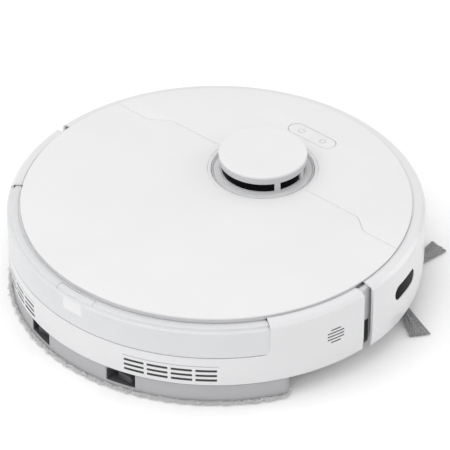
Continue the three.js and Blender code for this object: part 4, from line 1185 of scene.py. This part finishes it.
def fringe_strands(outline, count):
    """Curly loops that spread out from the pad's edge, longer along the rear arc."""
    closed = outline + outline[:1]
    lengths = [math.dist(a, b) for a, b in zip(closed, closed[1:])]
    ends = np.cumsum(lengths)
    paths, radii = [], []
    for _ in range(count):
        at = noise_source.uniform(0, ends[-1])
        i = min(int(np.searchsorted(ends, at)), len(lengths) - 1)
        a, b = Vector(closed[i]), Vector(closed[i + 1])
        spot = a.lerp(b, 1 - (ends[i] - at) / max(lengths[i], 1e-6))
        along = (b - a).normalized()
        out = Vector((along.y, -along.x))
        if out.dot(spot - Vector((0, -110))) < 0:
            out = -out
        clump = 0.75 + 0.35 * math.sin(at * 0.9) * math.sin(at * 0.37 + 1)
        limits = (0.9, 4.8) if spot.y < -80 else (0.5, 1.4)
        length = clump * noise_source.uniform(*limits)
        low = noise_source.uniform(0.25, 1.4)
        rise = noise_source.uniform(-0.3, 2.7)
        curl = noise_source.uniform(-1.7, 1.7)
        points = []
        for t in (0.0, 0.3, 0.6, 0.85, 1.0):
            reach = -1.2 + (length + 1.2) * math.sin(t * math.pi * 0.56)
            swing = curl * t * t
            height = low + rise * math.sin(t * math.pi * 0.8)
            x, y = spot + out * reach + along * swing
            points.append((x, y, max(0.22, height)))
        paths.append(points)
        size = noise_source.uniform(0.13, 0.25)
        radii.append([size, size * 1.15, size, size, size * 0.6])
    return paths, np.array(radii)


def mop_pad():
    core = slab("core", [mop_outline(MOP_R - 2.1, 150.2, -73.3, 9)], 0.15, 3.05, 0.9, 3)
    backing = slab("backing", [mop_outline(MOP_R + 0.6, 151.2, -73.2, 9)], 0.12, 0.95, 0.3, 2)
    pad = merged("mop_pad_cloth", [core, backing])
    finished(pad, FLEECE, "mop_tray", "mop_pad", 60)
    paths, radii = fringe_strands(mop_outline(MOP_R + 0.3, 151.0, -73.4, 9), 7500)
    finished(strands("mop_pad_fringe", paths, radii), YARN, "mop_tray", sharp=180)


# ---- inside ----
def dust_box():
    low, high = node_mm("dust_box")
    outline = stadium(high.x - low.x, high.y - low.y, 5, 0, (low.y + high.y) / 2, 6)
    inner = stadium(high.x - low.x - 3.6, high.y - low.y - 3.6, 4, 0, (low.y + high.y) / 2, 6)
    walls = slab("walls", [outline, inner], low.z, high.z)
    base = slab("base", [inner, stadium(76, 28, 3, 0, -71, 4)], low.z, low.z + 1.8)
    inlet = slab("inlet", [stadium(40, 16, 3, 0, 61, 5)], -6, 6)
    cut(walls, placed(inlet, math.pi / 2, "X", 0, high.y))
    box = merged("dust_box_tub", [walls, base])
    round_edges(box, 0.3, 60, 2)
    finished(box, MILKY, "dust_tank", "dust_box", 30)
    lid = slab("dust_box_cover", [outline], high.z + 0.3, 74.0, 0.6)
    finished(lid, SOFT_DARK, "dust_tank", "dust_box_lid", 30)


def cad_finishes():
    """CAD nodes that keep their shape get their finished material."""
    finishes = {
        "top_deck": SOFT_DARK, "module_bay": SOFT_DARK, "lidar_rotor": DARK, "lidar_motor": STEEL,
        "left_wheel_arm": SOFT_DARK, "right_wheel_arm": SOFT_DARK, "left_drive_motor": STEEL,
        "right_drive_motor": STEEL, "battery_pack": SOFT_DARK, "mainboard": BOARD, "fan_housing": DARK,
        "fan_impeller": PALE_GREY, "speaker": DARK, "brush_motor": DARK, "side_brush_motor": DARK,
        "tank_plug": RUBBER, "dust_filter": PAPER,
    }
    for name, material in finishes.items():
        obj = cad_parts[name]
        obj.data.materials.clear()
        obj.data.materials.append(material)


add_camera()
add_studio()
rear_shell()
gap_panels()
bumper()
tank()
tank_latch()
top_covers()
buttons()
lidar_turret()
chassis_pan()
wells()
underside_details()
brush_guard()
main_brush()
side_brush()
drive_wheel(-1)
drive_wheel(1)
caster()
mop_tray()
mop_pad()
dust_box()
cad_finishes()
